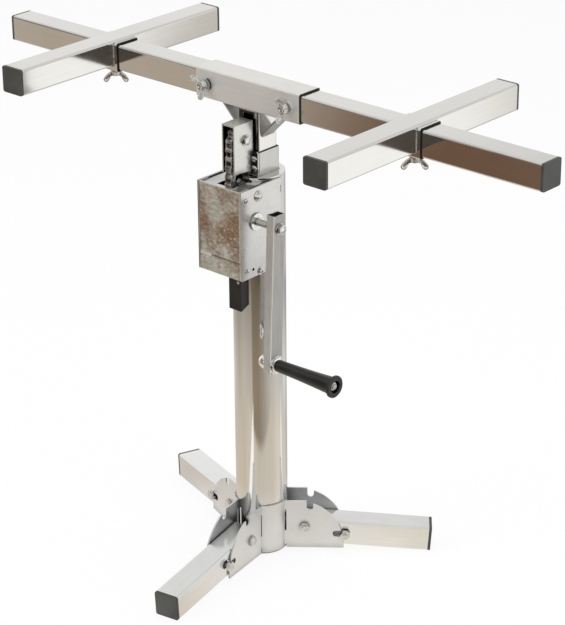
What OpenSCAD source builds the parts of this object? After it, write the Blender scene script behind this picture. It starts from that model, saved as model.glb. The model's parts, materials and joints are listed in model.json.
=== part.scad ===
// Cabinet lift jack: a folding tripod stand with a winch, a chain-driven mast and two sliding cross arms.
// The origin is on the column's axis at floor level. X runs along the beam, Y along the cross arms, Z is up.

/* [Square tubes] */
// Outside width of the beam, cross arm, leg and mast tubes
tube_w = 38; // [34:0.5:40]
// Wall of the square tubes
tube_wall = 2; // [1.5:0.25:3]
// Outer corner radius of every square tube
tube_corner = 3.2; // [3.1:0.1:4]
// Wall of the guide tube, head tube and sleeves that the square tubes slide in
sleeve_wall = 2; // [1.5:0.25:2.5]
// Sliding clearance on each side between an inner and an outer square tube
slide_gap = 0.5; // [0.3:0.1:0.8]

/* [Column] */
// Outside diameter of the column
column_d = 76; // [74:0.5:84]
// Wall of the column tube
column_wall = 2; // [1.5:0.25:3]
// Height of the column tube's lower end above the floor
column_foot_z = 5; // [4:0.5:8]
// Height of the column's top ring above the floor
column_top_z = 596; // [560:1:640]
// Thickness of the top ring
ring_t = 3; // [2:0.5:5]
// Length of guide tube that stands above the top ring
guide_rise = 34; // [30:1:40]
// Height of the guide tube's lower end
guide_foot_z = 70; // [60:1:90]
// Height of the spacer ring round the guide tube's lower end
spacer_h = 12; // [8:1:20]
// Width of the chain slots in the guide tube and mast
chain_slot_w = 18; // [17:0.5:20]

/* [Base brackets and legs] */
// Sheet thickness of the folded base brackets
bracket_t = 2.5; // [2:0.25:3]
// Height of the brackets' lower edge
bracket_z0 = 5; // [4:0.5:8]
// Height of the brackets' upper edge
bracket_z1 = 83; // [80:0.5:90]
// Clearance between a leg and each cheek
cheek_gap = 0.4; // [0.3:0.1:0.8]
// Distance of the cheeks' lower outer corner from the column's axis
cheek_reach = 121.5; // [118:0.5:124]
// Radius of the cheeks' outer arc
cheek_arc_r = 70.6; // [69:0.1:72]
// Height of that arc's centre above the brackets' lower edge
cheek_arc_up = 7.3; // [6:0.1:9]
// Width of the relief slits along the cheeks' bends
slit_w = 2.4; // [1.5:0.1:3]
// Direction of the first leg, turned from X
leg_turn = 39.4; // [30:0.1:50]
// Downward slope of the legs
leg_slope = 4; // [3:0.1:5]
// Distance from the column's axis to the lower outer edge of a leg
leg_reach = 249.8; // [240:0.1:280]
// Distance from the column's axis to a leg's pivot
pivot_d = 63.5; // [62:0.1:66]
// Height of the pivot above a leg's centreline
pivot_up = 8.5; // [7:0.1:9]
// Length of leg inboard of its pivot
leg_tail = 18; // [16:0.5:19]
// Diameter of the pivot bolts and lock bolts
leg_bolt_d = 8; // [7:0.5:8]
// Radial running clearance of the legs on their pivot bolts
pivot_play = 0.08; // [0.03:0.01:0.1]
// Distance of the locking notch's seat from the column's axis
lock_seat_d = 110; // [108:0.5:111]
// How far the lock bolt is drawn out along the leg, past its seat
lock_draw = 13.6; // [13.4:0.1:15]
// Width of the locking notches in the cheeks
notch_w = 9.5; // [9:0.1:10.5]
// Distance of the top notch from the column's axis
top_notch_d = 71.7; // [71:0.1:73]
// Depth of the top notch below the bracket's upper edge
top_notch_depth = 15.2; // [12:0.1:16]

/* [Beam and cross arms] */
// Length of one beam half with its cap
beam_len = 455; // [430:1:480]
// Distance of the left beam's inner end from the middle of the head tube
left_gap = 21.4; // [15:0.1:40]
// Distance of the right beam's inner end from the middle of the head tube
right_gap = 39.4; // [15:0.1:44]
// Length of the head tube that the beams slide in
head_len = 190; // [180:1:200]
// Clear height between the guide tube's top and the lowered head tube
head_gap = 57.5; // [54:0.5:70]
// Distance from the mast to each cross arm
arm_x = 277; // [230:1:330]
// Length of a cross arm with its caps
arm_len = 400; // [300:1:500]
// Height of the cross arms' tops above the beam's top
arm_rise = 5.7; // [5.2:0.1:8]
// Length of the sleeve under each cross arm
sleeve_len = 50; // [46:1:70]
// Thickness of the caps' flanges
cap_t = 4; // [3:0.5:6]
// Depth of the caps' plugs in the tubes
cap_plug = 15; // [10:1:25]
// Wall of the caps' hollow plugs
cap_wall = 2.5; // [2:0.5:3.5]
// Distance of the head tube's wing bolts from its middle
wing_x = 75; // [68:1:80]
// Width of the gusset strips
gusset_w = 28; // [20:1:34]
// Thickness of the gusset strips
gusset_t = 3; // [2:0.5:4]
// Reach of the gusset strips along the head tube, from the mast's side
gusset_reach = 36; // [25:1:45]
// Lift of the mast
lift_travel = 420; // [350:1:430]

/* [Winch box] */
// Thickness of the winch's side plates
side_t = 3; // [2:0.5:4]
// Distance from the column's axis to the winch's front
winch_depth = 80; // [79:0.5:90]
// Height of the winch box
winch_h = 131; // [125:1:150]
// Sheet thickness of the winch's front, top and bottom
winch_sheet = 1.5; // [1:0.25:2]
// Depth of the top plate below the side plates' upper edges
winch_recess = 2; // [1:0.5:3]
// Height of the joint between the two front covers, above the box's bottom
cover_split = 25.5; // [15:0.5:35]
// Distance of the crank shaft below the winch's top
crank_down = 49.5; // [46:0.5:52]
// Distance of the crank shaft in front of the column's axis
crank_out = 50.5; // [50:0.1:52]
// Distance of the drive shaft in front of the column's axis
drive_out = 45.5; // [44.5:0.1:46]
// Diameter of the crank shaft and drive shaft
shaft_d = 10; // [8:0.5:10]
// Radial running clearance of shafts in their bushes
shaft_play = 0.08; // [0.03:0.01:0.1]
// Half width of the window in the column behind the drive
window_half = 18; // [17.5:0.5:20]

/* [Gears and chain] */
// Gear module, as pitch diameter over teeth
gear_module = 1.27; // [1.25:0.01:1.3]
// Teeth of the gear on the crank shaft
crank_teeth = 38; // [36:1:38]
// Teeth of the gear on the drive shaft
drive_teeth = 19; // [18:1:19]
// Face width of the gears
gear_face = 6; // [4:0.5:6]
// Chain pitch
pitch = 12.7; // [12.6:0.05:12.8]
// Diameter of the chain's rollers
roller_d = 7.77; // [7.5:0.05:8]
// Inner width of the chain
chain_inner_w = 6.5; // [6:0.1:6.8]
// Thickness of the chain's side plates
plate_t = 1.3; // [1:0.05:1.35]
// Height of the chain's side plates
plate_h = 9.9; // [9:0.1:10]

/* [Idler and chain guard] */
// Height of the idler's axle above the guide tube's top
idler_up = 21; // [19:0.5:22]
// Distance of the idler's axle in front of the guide tube
idler_out = 16; // [15.5:0.1:16.5]
// Outside width of the idler's housing
idler_w = 23; // [22:0.5:25]
// Sheet thickness of the idler's housing
idler_sheet = 2; // [1.5:0.25:2]
// Height of the housing's closed top above its axle
idler_top_up = 25; // [24:0.5:27]
// Outside width of the chain guard
guard_w = 23.4; // [23:0.1:26]
// Drop of the chain guard's front below the winch
guard_drop = 64; // [55:1:80]

/* [Crank] */
// Distance from the crank shaft to the handle
crank_throw = 202; // [180:1:203]
// Angle of the hanging arm from the vertical
crank_tilt = 2.6; // [0:0.1:5]
// Thickness of the crank arm along the shaft
crank_arm_t = 14; // [13:0.5:18]
// Width of the crank arm
crank_arm_w = 22; // [21:0.5:26]
// Wall of the crank arm's tube
crank_arm_wall = 1.5; // [1:0.25:2.5]
// Distance from the column's axis to the arm's inner face
crank_arm_x = 70.5; // [66:0.5:76]
// Diameter of the handle's spindle
spindle_d = 8; // [7:0.5:10]
// Length of the grip
grip_len = 104; // [90:1:120]
// Diameter of the grip at the arm
grip_d = 17.8; // [17:0.1:22]
// Diameter of the grip before its end flange
grip_end_d = 25; // [24:0.5:28]
// Diameter of the grip's end flange
grip_flange_d = 32; // [30:0.5:33]

/* [Hidden] */
$fn = 48;
// Length of a cut that runs right through
through = 200;

drive_sprocket_teeth = 6;
idler_teeth = 8;
seat = 0.1;
sleeve_w = tube_w + 2 * (slide_gap + sleeve_wall);
sleeve_in = tube_w + 2 * slide_gap;
column_r = column_d / 2;
column_in = column_r - column_wall;
column_tube_top = column_top_z - ring_t;
guide_top = column_top_z + guide_rise;

head_z0 = guide_top + head_gap;
beam_z = head_z0 + sleeve_w / 2;
arm_top = beam_z + tube_w / 2 + arm_rise;
mast_hold = 100;
mast_foot = guide_top - lift_travel - mast_hold;
left_reach = left_gap + beam_len;
right_reach = right_gap + beam_len;

// Leg frame: its origin is the pivot, x runs out along the leg and z is square to it
leg_low = -tube_w / 2 - pivot_up;
leg_axis_z = -pivot_up;
leg_tip = (leg_reach - pivot_d - leg_low * sin(leg_slope)) / cos(leg_slope);
pivot_z = leg_tip * sin(leg_slope) - leg_low * cos(leg_slope);
cheek_in = tube_w / 2 + cheek_gap;
cheek_out = cheek_in + bracket_t;
wrap_r = column_r + bracket_t;
cheek_root = wrap_r - 8.4;
sheet_turn = asin((cheek_in + bracket_t / 2) / (column_r + bracket_t / 2));
slit_spans = [[0, bracket_z0 + 8], [bracket_z0 + 28.5, bracket_z1 - 14]];
leg_bolt_r = leg_bolt_d / 2;
lock_seat_u = (lock_seat_d - pivot_d) / cos(leg_slope) + pivot_up * tan(leg_slope);
lock_rest_u = lock_seat_u + lock_draw;
slot_in = 20;
slot_out = 0.5;
slot_u0 = lock_seat_u - slot_in;
slot_u1 = lock_rest_u + slot_out;
slot_play = 0.3;
hex_head_h = 5.3;
hex_nut_h = 6.5;
pivot_end = 3;
lock_end = 2;
hex_r = 7.5;
bolt_side_gap = 0.3;

// Winch
winch_top_z = column_tube_top;
winch_z0 = winch_top_z - winch_h;
side_in = column_r;
side_out = column_r + side_t;
crank_c = [-crank_out, winch_top_z - crank_down];
gear_centres = gear_module * (crank_teeth + drive_teeth) / 2;
drive_rise = sqrt(pow(gear_centres, 2) - pow(crank_out - drive_out, 2));
drive_c = [-drive_out, crank_c[1] + drive_rise];
idler_c = [-(sleeve_w / 2 + idler_out), guide_top + idler_up];
shaft_r = shaft_d / 2;
gear_x = 8.5;
drive_r = pitch / (2 * sin(180 / drive_sprocket_teeth));
idler_r = pitch / (2 * sin(180 / idler_teeth));
sprocket_half = chain_inner_w / 2 - 0.35;
bush_r = 12;
bush_in_r = bush_r - 3;
bush_flange = 3;
chain_half_w = chain_inner_w / 2 + 2 * plate_t + 1.05;
seat_play = 0.15;
opening_x0 = -14;
opening_x1 = gear_x + gear_face + 1.5;
opening_y0 = -69;
opening_y1 = -36;
brake_x0 = -36;
ratchet_t = 4;
ratchet_r = 19;
ratchet_teeth = 16;
disc_t = 1.5;
hub_t = 3;
ratchet_x1 = -24.8;
ratchet_x0 = ratchet_x1 - ratchet_t;
pawl_c = [crank_c[0] - 19, crank_c[1] + 20];
pawl_pin_r = 3;

// Chain guard
guard_wall = 1.4;
guard_front = crank_out + 0.4;
guard_z0 = winch_z0 - guard_drop;
tail_y = -(guard_front - guard_wall + column_r) / 2;

// Crank
crank_head_up = 20;
crank_foot_down = 12;
dome_r = 9.8;
washer_r = 12.2;
washer_t = 2;
nut_t = 2.6;
grip_x0 = crank_arm_x + crank_arm_t + washer_t + nut_t + 0.3;
grip_x1 = grip_x0 + grip_len;
grip_flange_t = 5;
grip_edge = 1.2;
grip_steps = 12;
grip_recess_r = 9;
grip_recess = 8;

// Wing bolt
wing_shank_r = 4;
wing_boss_r = 9;
wing_boss_t = 3.5;
wing_hub_r = 7.5;
wing_neck_r = 6.2;
wing_hub_h = 8;
wing_t = 3.2;
wing_ear_c = [13, -5];
wing_ear_r = 5.5;
wing_dish_r = 3.7;
wing_dish = 0.5;
wing_bare = 3;
wing_tip_gap = 0.2;

function on_circle(c, r, a) = [c[0] + r * cos(a), c[1] + r * sin(a)];
function toward(a, b) = (b - a) / norm(b - a);

module square_2d(w, r) {
    square([w, w - 2 * r], center = true);
    square([w - 2 * r, w], center = true);
    for (sx = [-1, 1], sy = [-1, 1]) translate([sx * (w / 2 - r), sy * (w / 2 - r)]) circle(r);
}

module tube_2d(w, wall) {
    difference() {
        square_2d(w, tube_corner);
        square_2d(w - 2 * wall, tube_corner - wall + 0.1);
    }
}

// Extrudes a (y, z) outline along X
module along_x(x0, x1) translate([x0, 0, 0]) rotate([90, 0, 90]) linear_extrude(x1 - x0) children();

// Extrudes an (x, z) outline along Y
module along_y(y0, y1) translate([0, y1, 0]) rotate([90, 0, 0]) linear_extrude(y1 - y0) children();

module rod_x(r, x0, x1) translate([x0, 0, 0]) rotate([0, 90, 0]) cylinder(r = r, h = x1 - x0);

module rod_y(r, y0, y1) translate([0, y1, 0]) rotate([90, 0, 0]) cylinder(r = r, h = y1 - y0);

module hex_x(r, x0, x1) translate([x0, 0, 0]) rotate([0, 90, 0]) cylinder(r = r, h = x1 - x0, $fn = 6);

module hex_y(r, y0, y1) translate([0, y1, 0]) rotate([90, 0, 0]) cylinder(r = r, h = y1 - y0, $fn = 6);

module at_yz(c) translate([0, c[0], c[1]]) children();

// A slot outline along x with round ends centred at x0 and x1
module slot_2d(x0, x1, r) {
    translate([x0, -r]) square([x1 - x0, 2 * r]);
    translate([x0, 0]) circle(r);
    translate([x1, 0]) circle(r);
}

// Column

module column_tube() color("gainsboro") difference() {
    translate([0, 0, column_foot_z]) cylinder(r = column_r, h = column_tube_top - column_foot_z, $fn = 96);
    translate([0, 0, column_foot_z - 1])
        cylinder(r = column_in, h = column_tube_top - column_foot_z + 2, $fn = 96);
    // Window behind the drive, inside the winch box
    translate([-window_half, -column_r - 1, winch_z0 + winch_recess + winch_sheet + 1])
        cube([2 * window_half, column_r - 10, winch_h]);
}

module foot_plug() color("black") {
    translate([0, 0, column_foot_z - 2.5]) cylinder(r = column_r, h = 2.5, $fn = 96);
    translate([0, 0, column_foot_z - 1]) cylinder(r = column_in - seat, h = 16, $fn = 96);
}

module column_ring() color("whitesmoke") difference() {
    translate([0, 0, column_tube_top]) cylinder(r = column_r, h = ring_t, $fn = 96);
    translate([0, 0, column_tube_top - 1]) linear_extrude(ring_t + 2) square_2d(sleeve_w + 0.1, tube_corner);
    translate([-chain_slot_w / 2, -column_r - 1, column_tube_top - 1])
        cube([chain_slot_w, column_r, ring_t + 2]);
}

module guide_tube() color("lightgray") {
    difference() {
        translate([0, 0, guide_foot_z])
            linear_extrude(guide_top - guide_foot_z) tube_2d(sleeve_w, sleeve_wall);
        translate([-chain_slot_w / 2, -sleeve_w / 2 - 1, mast_foot - 5])
            cube([chain_slot_w, sleeve_w / 2, guide_top]);
    }
    translate([0, 0, guide_foot_z]) difference() {
        cylinder(r = column_in - seat, h = spacer_h, $fn = 96);
        translate([0, 0, -1]) linear_extrude(spacer_h + 2) square_2d(sleeve_w - seat, tube_corner);
    }
}

// Base brackets

function leg_angle(i) = leg_turn + 120 * i;

// What is cut from a cheek: the outside of its arc, its notches and the pivot hole
module cheek_cut_2d() {
    arc_c = [cheek_reach - sqrt(pow(cheek_arc_r, 2) - pow(cheek_arc_up, 2)), bracket_z0 + cheek_arc_up];
    difference() {
        translate([top_notch_d, 0]) square([cheek_reach, 2 * bracket_z1]);
        translate(arc_c) circle(cheek_arc_r, $fn = 96);
    }
    translate([top_notch_d, bracket_z1 - top_notch_depth + notch_w / 2]) rotate(90)
        slot_2d(0, bracket_z1, notch_w / 2);
    // Locking notch along the leg's centreline
    translate([pivot_d, pivot_z]) rotate(-leg_slope) translate([0, leg_axis_z])
        slot_2d(lock_seat_u, lock_seat_u + cheek_reach, notch_w / 2);
    translate([pivot_d, pivot_z]) circle(leg_bolt_r);
}

// One sheet wraps the column between two legs, and its ends are the facing cheeks
module bracket_plan_2d() difference() {
    union() {
        intersection() {
            circle(wrap_r, $fn = 96);
            polygon([[0, 0], for (a = [sheet_turn, 60, 120 - sheet_turn]) on_circle([0, 0], 2 * wrap_r, a)]);
        }
        for (turn = [0, 120]) rotate(turn)
            translate([cheek_root, turn == 0 ? cheek_in : -cheek_out])
                square([cheek_reach + 1 - cheek_root, bracket_t]);
    }
    circle(column_r, $fn = 96);
}

module bracket(i) color("silver") rotate([0, 0, leg_angle(i)]) difference() {
    translate([0, 0, bracket_z0]) linear_extrude(bracket_z1 - bracket_z0) bracket_plan_2d();
    for (side = [1, -1]) rotate([0, 0, side > 0 ? 0 : 120]) {
        along_y(side * (cheek_in + bracket_t / 2) - bracket_t, side * (cheek_in + bracket_t / 2) + bracket_t)
            cheek_cut_2d();
        // Relief slits along the bend
        for (z = slit_spans) along_y(side * cheek_in - 2 * bracket_t, side * cheek_in + 2 * bracket_t)
            translate([cheek_root + slit_w, z[0]]) square([slit_w, z[1] - z[0]]);
    }
}

module bracket_1() bracket(0);
module bracket_2() bracket(1);
module bracket_3() bracket(2);

module leg_frame(i) rotate([0, 0, leg_angle(i)]) translate([pivot_d, 0, pivot_z]) rotate([0, leg_slope, 0])
    children();

module pivot_bolts() color("silver") for (i = [0:2]) leg_frame(i) {
    rod_y(leg_bolt_r, -cheek_out - hex_nut_h - pivot_end, cheek_out);
    hex_y(hex_r, cheek_out, cheek_out + hex_head_h);
    difference() {
        hex_y(hex_r, -cheek_out - hex_nut_h, -cheek_out);
        rod_y(leg_bolt_r, -cheek_out - hex_nut_h - 1, 0);
    }
}

// Legs, in the leg frame

module leg_tube(i) color("silver") leg_frame(i) difference() {
    translate([0, 0, leg_axis_z]) along_x(-leg_tail, leg_tip - cap_t) tube_2d(tube_w, tube_wall);
    rod_y(leg_bolt_r + pivot_play, -tube_w, tube_w);
    translate([0, 0, leg_axis_z]) along_y(-tube_w, tube_w) slot_2d(slot_u0, slot_u1, leg_bolt_r + slot_play);
}

module end_cap() {
    along_x(-cap_t, 0) square_2d(tube_w, tube_corner);
    along_x(-cap_t - cap_plug, -cap_t) difference() {
        square_2d(tube_w - 2 * (tube_wall + seat), tube_corner - tube_wall + 0.1);
        square_2d(tube_w - 2 * (tube_wall + cap_wall), 1);
    }
}

module leg_cap(i) color("black") leg_frame(i) translate([leg_tip, 0, leg_axis_z]) end_cap();

module lock_bolt(i) color("silver") leg_frame(i) translate([lock_rest_u, 0, leg_axis_z]) {
    grip_y = cheek_out + bolt_side_gap;
    rod_y(leg_bolt_r, -grip_y - hex_nut_h - lock_end, grip_y);
    hex_y(hex_r, grip_y, grip_y + hex_head_h);
    difference() {
        hex_y(hex_r, -grip_y - hex_nut_h, -grip_y);
        rod_y(leg_bolt_r, -grip_y - hex_nut_h - 1, 0);
    }
}

module leg_tube_1() leg_tube(0);
module leg_tube_2() leg_tube(1);
module leg_tube_3() leg_tube(2);
module leg_cap_1() leg_cap(0);
module leg_cap_2() leg_cap(1);
module leg_cap_3() leg_cap(2);
module lock_bolt_1() lock_bolt(0);
module lock_bolt_2() lock_bolt(1);
module lock_bolt_3() lock_bolt(2);

// Winch box

screw_r = 1.8;
screw_head_r = 3.4;
screw_head_h = 1.6;
screw_y = -winch_depth + 10;
screw_z = [winch_z0 + 12, winch_top_z - 14];
plate_past = 2;
cover_return = 18;
cover_gap = 0.6;
hook_hole = [-57, winch_z0 + 11.6];
hook_hole_r = 2.2;
weld_slit = [0.4, winch_top_z - 21.5];
weld_slit_size = [1, 10.5];

module screw_holes() for (z = screw_z) at_yz([screw_y, z]) rod_x(screw_r, -through, through);

module winch_sides() color("lightgray") {
    side_plate_size = [side_t, winch_depth + plate_past, winch_h];
    for (side = [0, 1]) mirror([side, 0, 0]) difference() {
        translate([side_in, -winch_depth, winch_z0]) cube(side_plate_size);
        for (c = [crank_c, drive_c]) at_yz(c) rod_x(bush_in_r, 0, through);
        screw_holes();
        // Open hole low down and short slit at the rear of the right plate
        if (side == 0) {
            at_yz(hook_hole) rod_x(hook_hole_r, 0, through);
            along_x(0, through) translate(weld_slit) square(weld_slit_size);
        }
    }
}

// The front sheet's plan: a shallow channel whose returns lie inside the side plates
module cover_2d() translate([0, -winch_depth]) difference() {
    translate([-side_in + seat, 0]) square([2 * (side_in - seat), cover_return]);
    translate([-side_in + seat + winch_sheet, winch_sheet])
        square([2 * (side_in - seat - winch_sheet), cover_return]);
}

module cover(z0, z1) difference() {
    translate([0, 0, z0]) linear_extrude(z1 - z0) cover_2d();
    screw_holes();
    at_yz(pawl_c) rod_x(pawl_pin_r + 3, -through, 0);
}

module cover_upper() color("rosybrown") cover(winch_z0 + cover_split + cover_gap / 2, winch_top_z);
module cover_lower() color("rosybrown") cover(winch_z0, winch_z0 + cover_split - cover_gap / 2);

module deck_2d() difference() {
    translate([-side_in + winch_sheet + 2 * seat, -winch_depth + winch_sheet + seat])
        square([2 * (side_in - winch_sheet - 2 * seat), winch_depth - winch_sheet - seat - 20]);
    circle(column_r + 0.2, $fn = 96);
}

module winch_top() color("silver") translate([0, 0, winch_top_z - winch_recess - winch_sheet]) {
    linear_extrude(winch_sheet) difference() {
        deck_2d();
        translate([opening_x0, opening_y0]) square([opening_x1 - opening_x0, opening_y1 - opening_y0]);
    }
    // Hooked tab at the opening's rear corner
    translate([opening_x0 - 5, opening_y1 - 6, winch_sheet]) cube([1.5, 5, 3]);
    translate([opening_x0 - 5, opening_y1 - 6, winch_sheet + 3]) cube([4.5, 5, 1.5]);
}

module winch_bottom() color("silver") translate([0, 0, winch_z0 + winch_recess]) linear_extrude(winch_sheet)
    difference() {
        deck_2d();
        translate([-guard_w / 2 + guard_wall, -guard_front + guard_wall])
            square([guard_w - 2 * guard_wall, guard_front]);
    }

module winch_screws() color("silver") {
    for (side = [0, 1], z = screw_z) mirror([side, 0, 0]) at_yz([screw_y, z]) {
        rod_x(screw_r, side_in - seat - winch_sheet - 2, side_out);
        rod_x(screw_head_r, side_out, side_out + screw_head_h);
    }
    // Stop bolt low down at the rear of the right side plate
    at_yz([-42.6, winch_z0 + 5]) {
        rod_x(5.5, side_out, side_out + 1);
        rod_x(3.6, side_out + 1, side_out + 3.2);
    }
    at_yz([-guard_front, winch_z0 - 20]) translate([guard_w / 2 - 5, 0, 0]) rod_y(2.4, -1.5, 0);
}

module shaft_bush(ringed) difference() {
    union() {
        rod_x(bush_in_r, side_in - 2, side_out);
        rod_x(bush_in_r + 0.6, side_in - 3.5, side_in);
        if (ringed) rod_x(bush_r, side_out, side_out + bush_flange);
    }
    rod_x(shaft_r + shaft_play, 0, through);
}

module shaft_bushes() color("silver") for (c = [crank_c, drive_c], side = [0, 1])
    mirror([side, 0, 0]) at_yz(c) shaft_bush(side == 0 && c == crank_c);

module chain_guard() color("black") difference() {
    translate([-guard_w / 2, -guard_front, guard_z0])
        cube([guard_w, guard_front, winch_z0 - guard_z0 + winch_recess]);
    translate([-guard_w / 2 + guard_wall, -guard_front + guard_wall, guard_z0 - 1])
        cube([guard_w - 2 * guard_wall, guard_front, winch_h]);
    translate([0, 0, guard_z0 - 1]) cylinder(r = column_r + 0.05, h = winch_h, $fn = 96);
    // Slanted mouth, cut higher at the back
    translate([-guard_w, -guard_front, guard_z0]) rotate([24, 0, 0]) translate([0, -5, -20])
        cube([2 * guard_w, 40, 20]);
}

// Roller chain: each point is a roller's centre in the (y, z) plane at x = 0

back_y = idler_c[0] + idler_r;
back_count = floor((idler_c[1] - mast_foot - 20) / pitch);
back_points = [for (k = [back_count:-1:1]) [back_y, idler_c[1] - k * pitch]];
idler_points = [for (k = [0:idler_teeth / 2]) on_circle(idler_c, idler_r, k * 360 / idler_teeth)];
front_start = on_circle(idler_c, idler_r, 180);
to_drive = drive_c - front_start;
front_angle = atan2(to_drive[1], to_drive[0]) - asin(drive_r / norm(to_drive));
front_len = sqrt(pow(norm(to_drive), 2) - pow(drive_r, 2));
front_count = floor(front_len / pitch);
front_points = [for (k = [1:front_count]) on_circle(front_start, k * pitch, front_angle)];
front_last = front_points[front_count - 1];
from_drive = front_last - drive_c;
wrap_swing = acos((pow(norm(from_drive), 2) + pow(drive_r, 2) - pow(pitch, 2))
    / (2 * norm(from_drive) * drive_r));
wrap_start = (atan2(from_drive[1], from_drive[0]) + 360) % 360 + wrap_swing;
wrap_points = [for (k = [0:2]) on_circle(drive_c, drive_r, wrap_start + k * 360 / drive_sprocket_teeth)];
tail_top = wrap_points[2];
tail_turn = [tail_y, winch_z0 + winch_recess + 4];
tail_dir = toward(tail_top, tail_turn);
tail_count = round(norm(tail_turn - tail_top) / pitch);
tail_points = [for (k = [1:tail_count]) tail_top + k * pitch * tail_dir];
tail_last = tail_points[tail_count - 1];
drop_points = [for (k = [1:3]) tail_last + [0, -k * pitch]];
rollers = concat(back_points, idler_points, front_points, wrap_points, tail_points, drop_points);
pin_r = 1.8;

module link_2d(a, b) {
    dir = toward(a, b);
    for (p = [a, b]) translate(p) circle(plate_h / 2, $fn = 24);
    translate(a) rotate(atan2(dir[1], dir[0])) translate([0, -plate_h * 0.4])
        square([norm(b - a), plate_h * 0.8]);
}

module inner_link(a, b) {
    difference() {
        union() {
            for (side = [0, 1]) mirror([side, 0, 0])
                along_x(chain_inner_w / 2, chain_inner_w / 2 + plate_t) link_2d(a, b);
            for (p = [a, b]) at_yz(p) rod_x(roller_d / 2, -chain_inner_w / 2, chain_inner_w / 2, $fn = 24);
        }
        for (p = [a, b]) at_yz(p) rod_x(pin_r + 0.05, -through, through, $fn = 24);
    }
}

module outer_link(a, b) {
    for (side = [0, 1]) mirror([side, 0, 0])
        along_x(chain_inner_w / 2 + plate_t + 0.1, chain_inner_w / 2 + 2 * plate_t + 0.1) link_2d(a, b);
    for (p = [a, b]) at_yz(p) rod_x(pin_r, -chain_half_w, chain_half_w, $fn = 24);
}

module lift_chain() color("dimgray") for (k = [0:len(rollers) - 2])
    if (k % 2 == 0) inner_link(rollers[k], rollers[k + 1]); else outer_link(rollers[k], rollers[k + 1]);

// Each flank is the path of a roller that swings about the next seat as the chain comes off
module sprocket_2d(teeth, r, turn, bore) {
    seat_r = roller_d / 2 + seat_play;
    difference() {
        union() {
            circle(r * cos(180 / teeth));
            for (k = [0:teeth - 1]) rotate(turn + k * 360 / teeth) intersection() {
                circle(r + roller_d * 0.32);
                translate([r, 0]) circle(pitch - seat_r);
                rotate(360 / teeth) translate([r, 0]) circle(pitch - seat_r);
            }
        }
        for (k = [0:teeth - 1]) rotate(turn + k * 360 / teeth) translate([r, 0]) circle(seat_r, $fn = 24);
        circle(bore);
    }
}

// Idler, bolted to the guide tube's front

idler_axle_r = 4;
flange_z0 = guide_top - 26;
flange_z1 = guide_top + 1.5;
flange_reach = 9.5;
housing_rear = -sleeve_w / 2;
housing_front = idler_c[0] - 22.5;
housing_top = idler_c[1] + idler_top_up;
idler_in = idler_w / 2 - idler_sheet;
flange_x = idler_w / 2 + flange_reach;
flange_cut = 2;
housing_bolt_x = 16;
housing_bolt_z = [guide_top - 8.4, guide_top - 22];
housing_bolt_r = 2.5;

module idler_housing() color("silver") {
    difference() {
        for (side = [0, 1]) mirror([side, 0, 0]) {
            along_x(idler_in, idler_w / 2) polygon([[housing_front, flange_z0 + 2],
                [housing_front, housing_top], [housing_rear - 1, housing_top],
                [housing_rear - 1, guide_top + 8],
                [housing_rear, guide_top], [housing_rear, flange_z0]]);
            along_y(housing_rear - idler_sheet, housing_rear) polygon([[idler_in, flange_z0],
                [idler_in, flange_z1], [flange_x - flange_cut, flange_z1], [flange_x, flange_z1 - flange_cut],
                [flange_x, flange_z0 + flange_cut], [flange_x - flange_cut, flange_z0]]);
        }
        at_yz(idler_c) rod_x(idler_axle_r, -through, through);
        for (x = [-1, 1] * housing_bolt_x, z = housing_bolt_z) translate([x, 0, z])
            rod_y(housing_bolt_r, -through, 0);
    }
    along_x(-idler_w / 2, idler_w / 2) translate([housing_front, housing_top - idler_sheet])
        square([housing_rear - 1 - housing_front, idler_sheet]);
}

module idler_bolts() color("silver") {
    at_yz(idler_c) {
        rod_x(idler_axle_r, -idler_w / 2 - 8, idler_w / 2);
        hex_x(7, idler_w / 2, idler_w / 2 + hex_head_h);
        difference() {
            hex_x(7, -idler_w / 2 - 6, -idler_w / 2);
            rod_x(idler_axle_r, -through, 0);
        }
    }
    for (x = [-1, 1] * housing_bolt_x, z = housing_bolt_z) translate([x, 0, z]) {
        hex_y(4.6, housing_rear - idler_sheet - 3.5, housing_rear - idler_sheet);
        rod_y(housing_bolt_r, housing_rear - idler_sheet, housing_rear);
    }
}

module idler_sprocket() color("gray") at_yz(idler_c) {
    along_x(-sprocket_half, sprocket_half) sprocket_2d(idler_teeth, idler_r, 0, idler_axle_r + shaft_play);
    for (side = [0, 1]) mirror([side, 0, 0]) along_x(sprocket_half, idler_in - 0.3) difference() {
        circle(7);
        circle(idler_axle_r + shaft_play);
    }
}

// Gears: involute flanks worked out from the base circle

pressure_angle = 20;
gear_backlash = 0.15;
flank_steps = 3;

function involute(base, r) = let (t = sqrt(pow(r / base, 2) - 1)) [r, t * 180 / PI - atan(t)];
function flank_radius(base, root, tip, k) = max(base, root) + (tip - max(base, root)) * k / flank_steps;

module gear_2d(teeth, turn, bore) {
    r = gear_module * teeth / 2;
    base = r * cos(pressure_angle);
    tip = r + gear_module;
    root = r - 1.25 * gear_module;
    pitch_flank = involute(base, r)[1];
    half = 90 / teeth - gear_backlash / 2 / r * 180 / PI;
    flank = [for (k = [0:flank_steps]) involute(base, flank_radius(base, root, tip, k))];
    difference() {
        rotate(turn) polygon([for (k = [0:teeth - 1], side = [-1, 1], j = [0:flank_steps + 1])
            let (n = side < 0 ? j : flank_steps + 1 - j,
                p = n == 0 ? [root, flank[0][1]] : flank[n - 1],
                a = k * 360 / teeth + side * (half + pitch_flank - p[1]))
            [p[0] * cos(a), p[0] * sin(a)]]);
        circle(bore);
    }
}

mesh_angle = atan2(drive_c[1] - crank_c[1], drive_c[0] - crank_c[0]);

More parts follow.
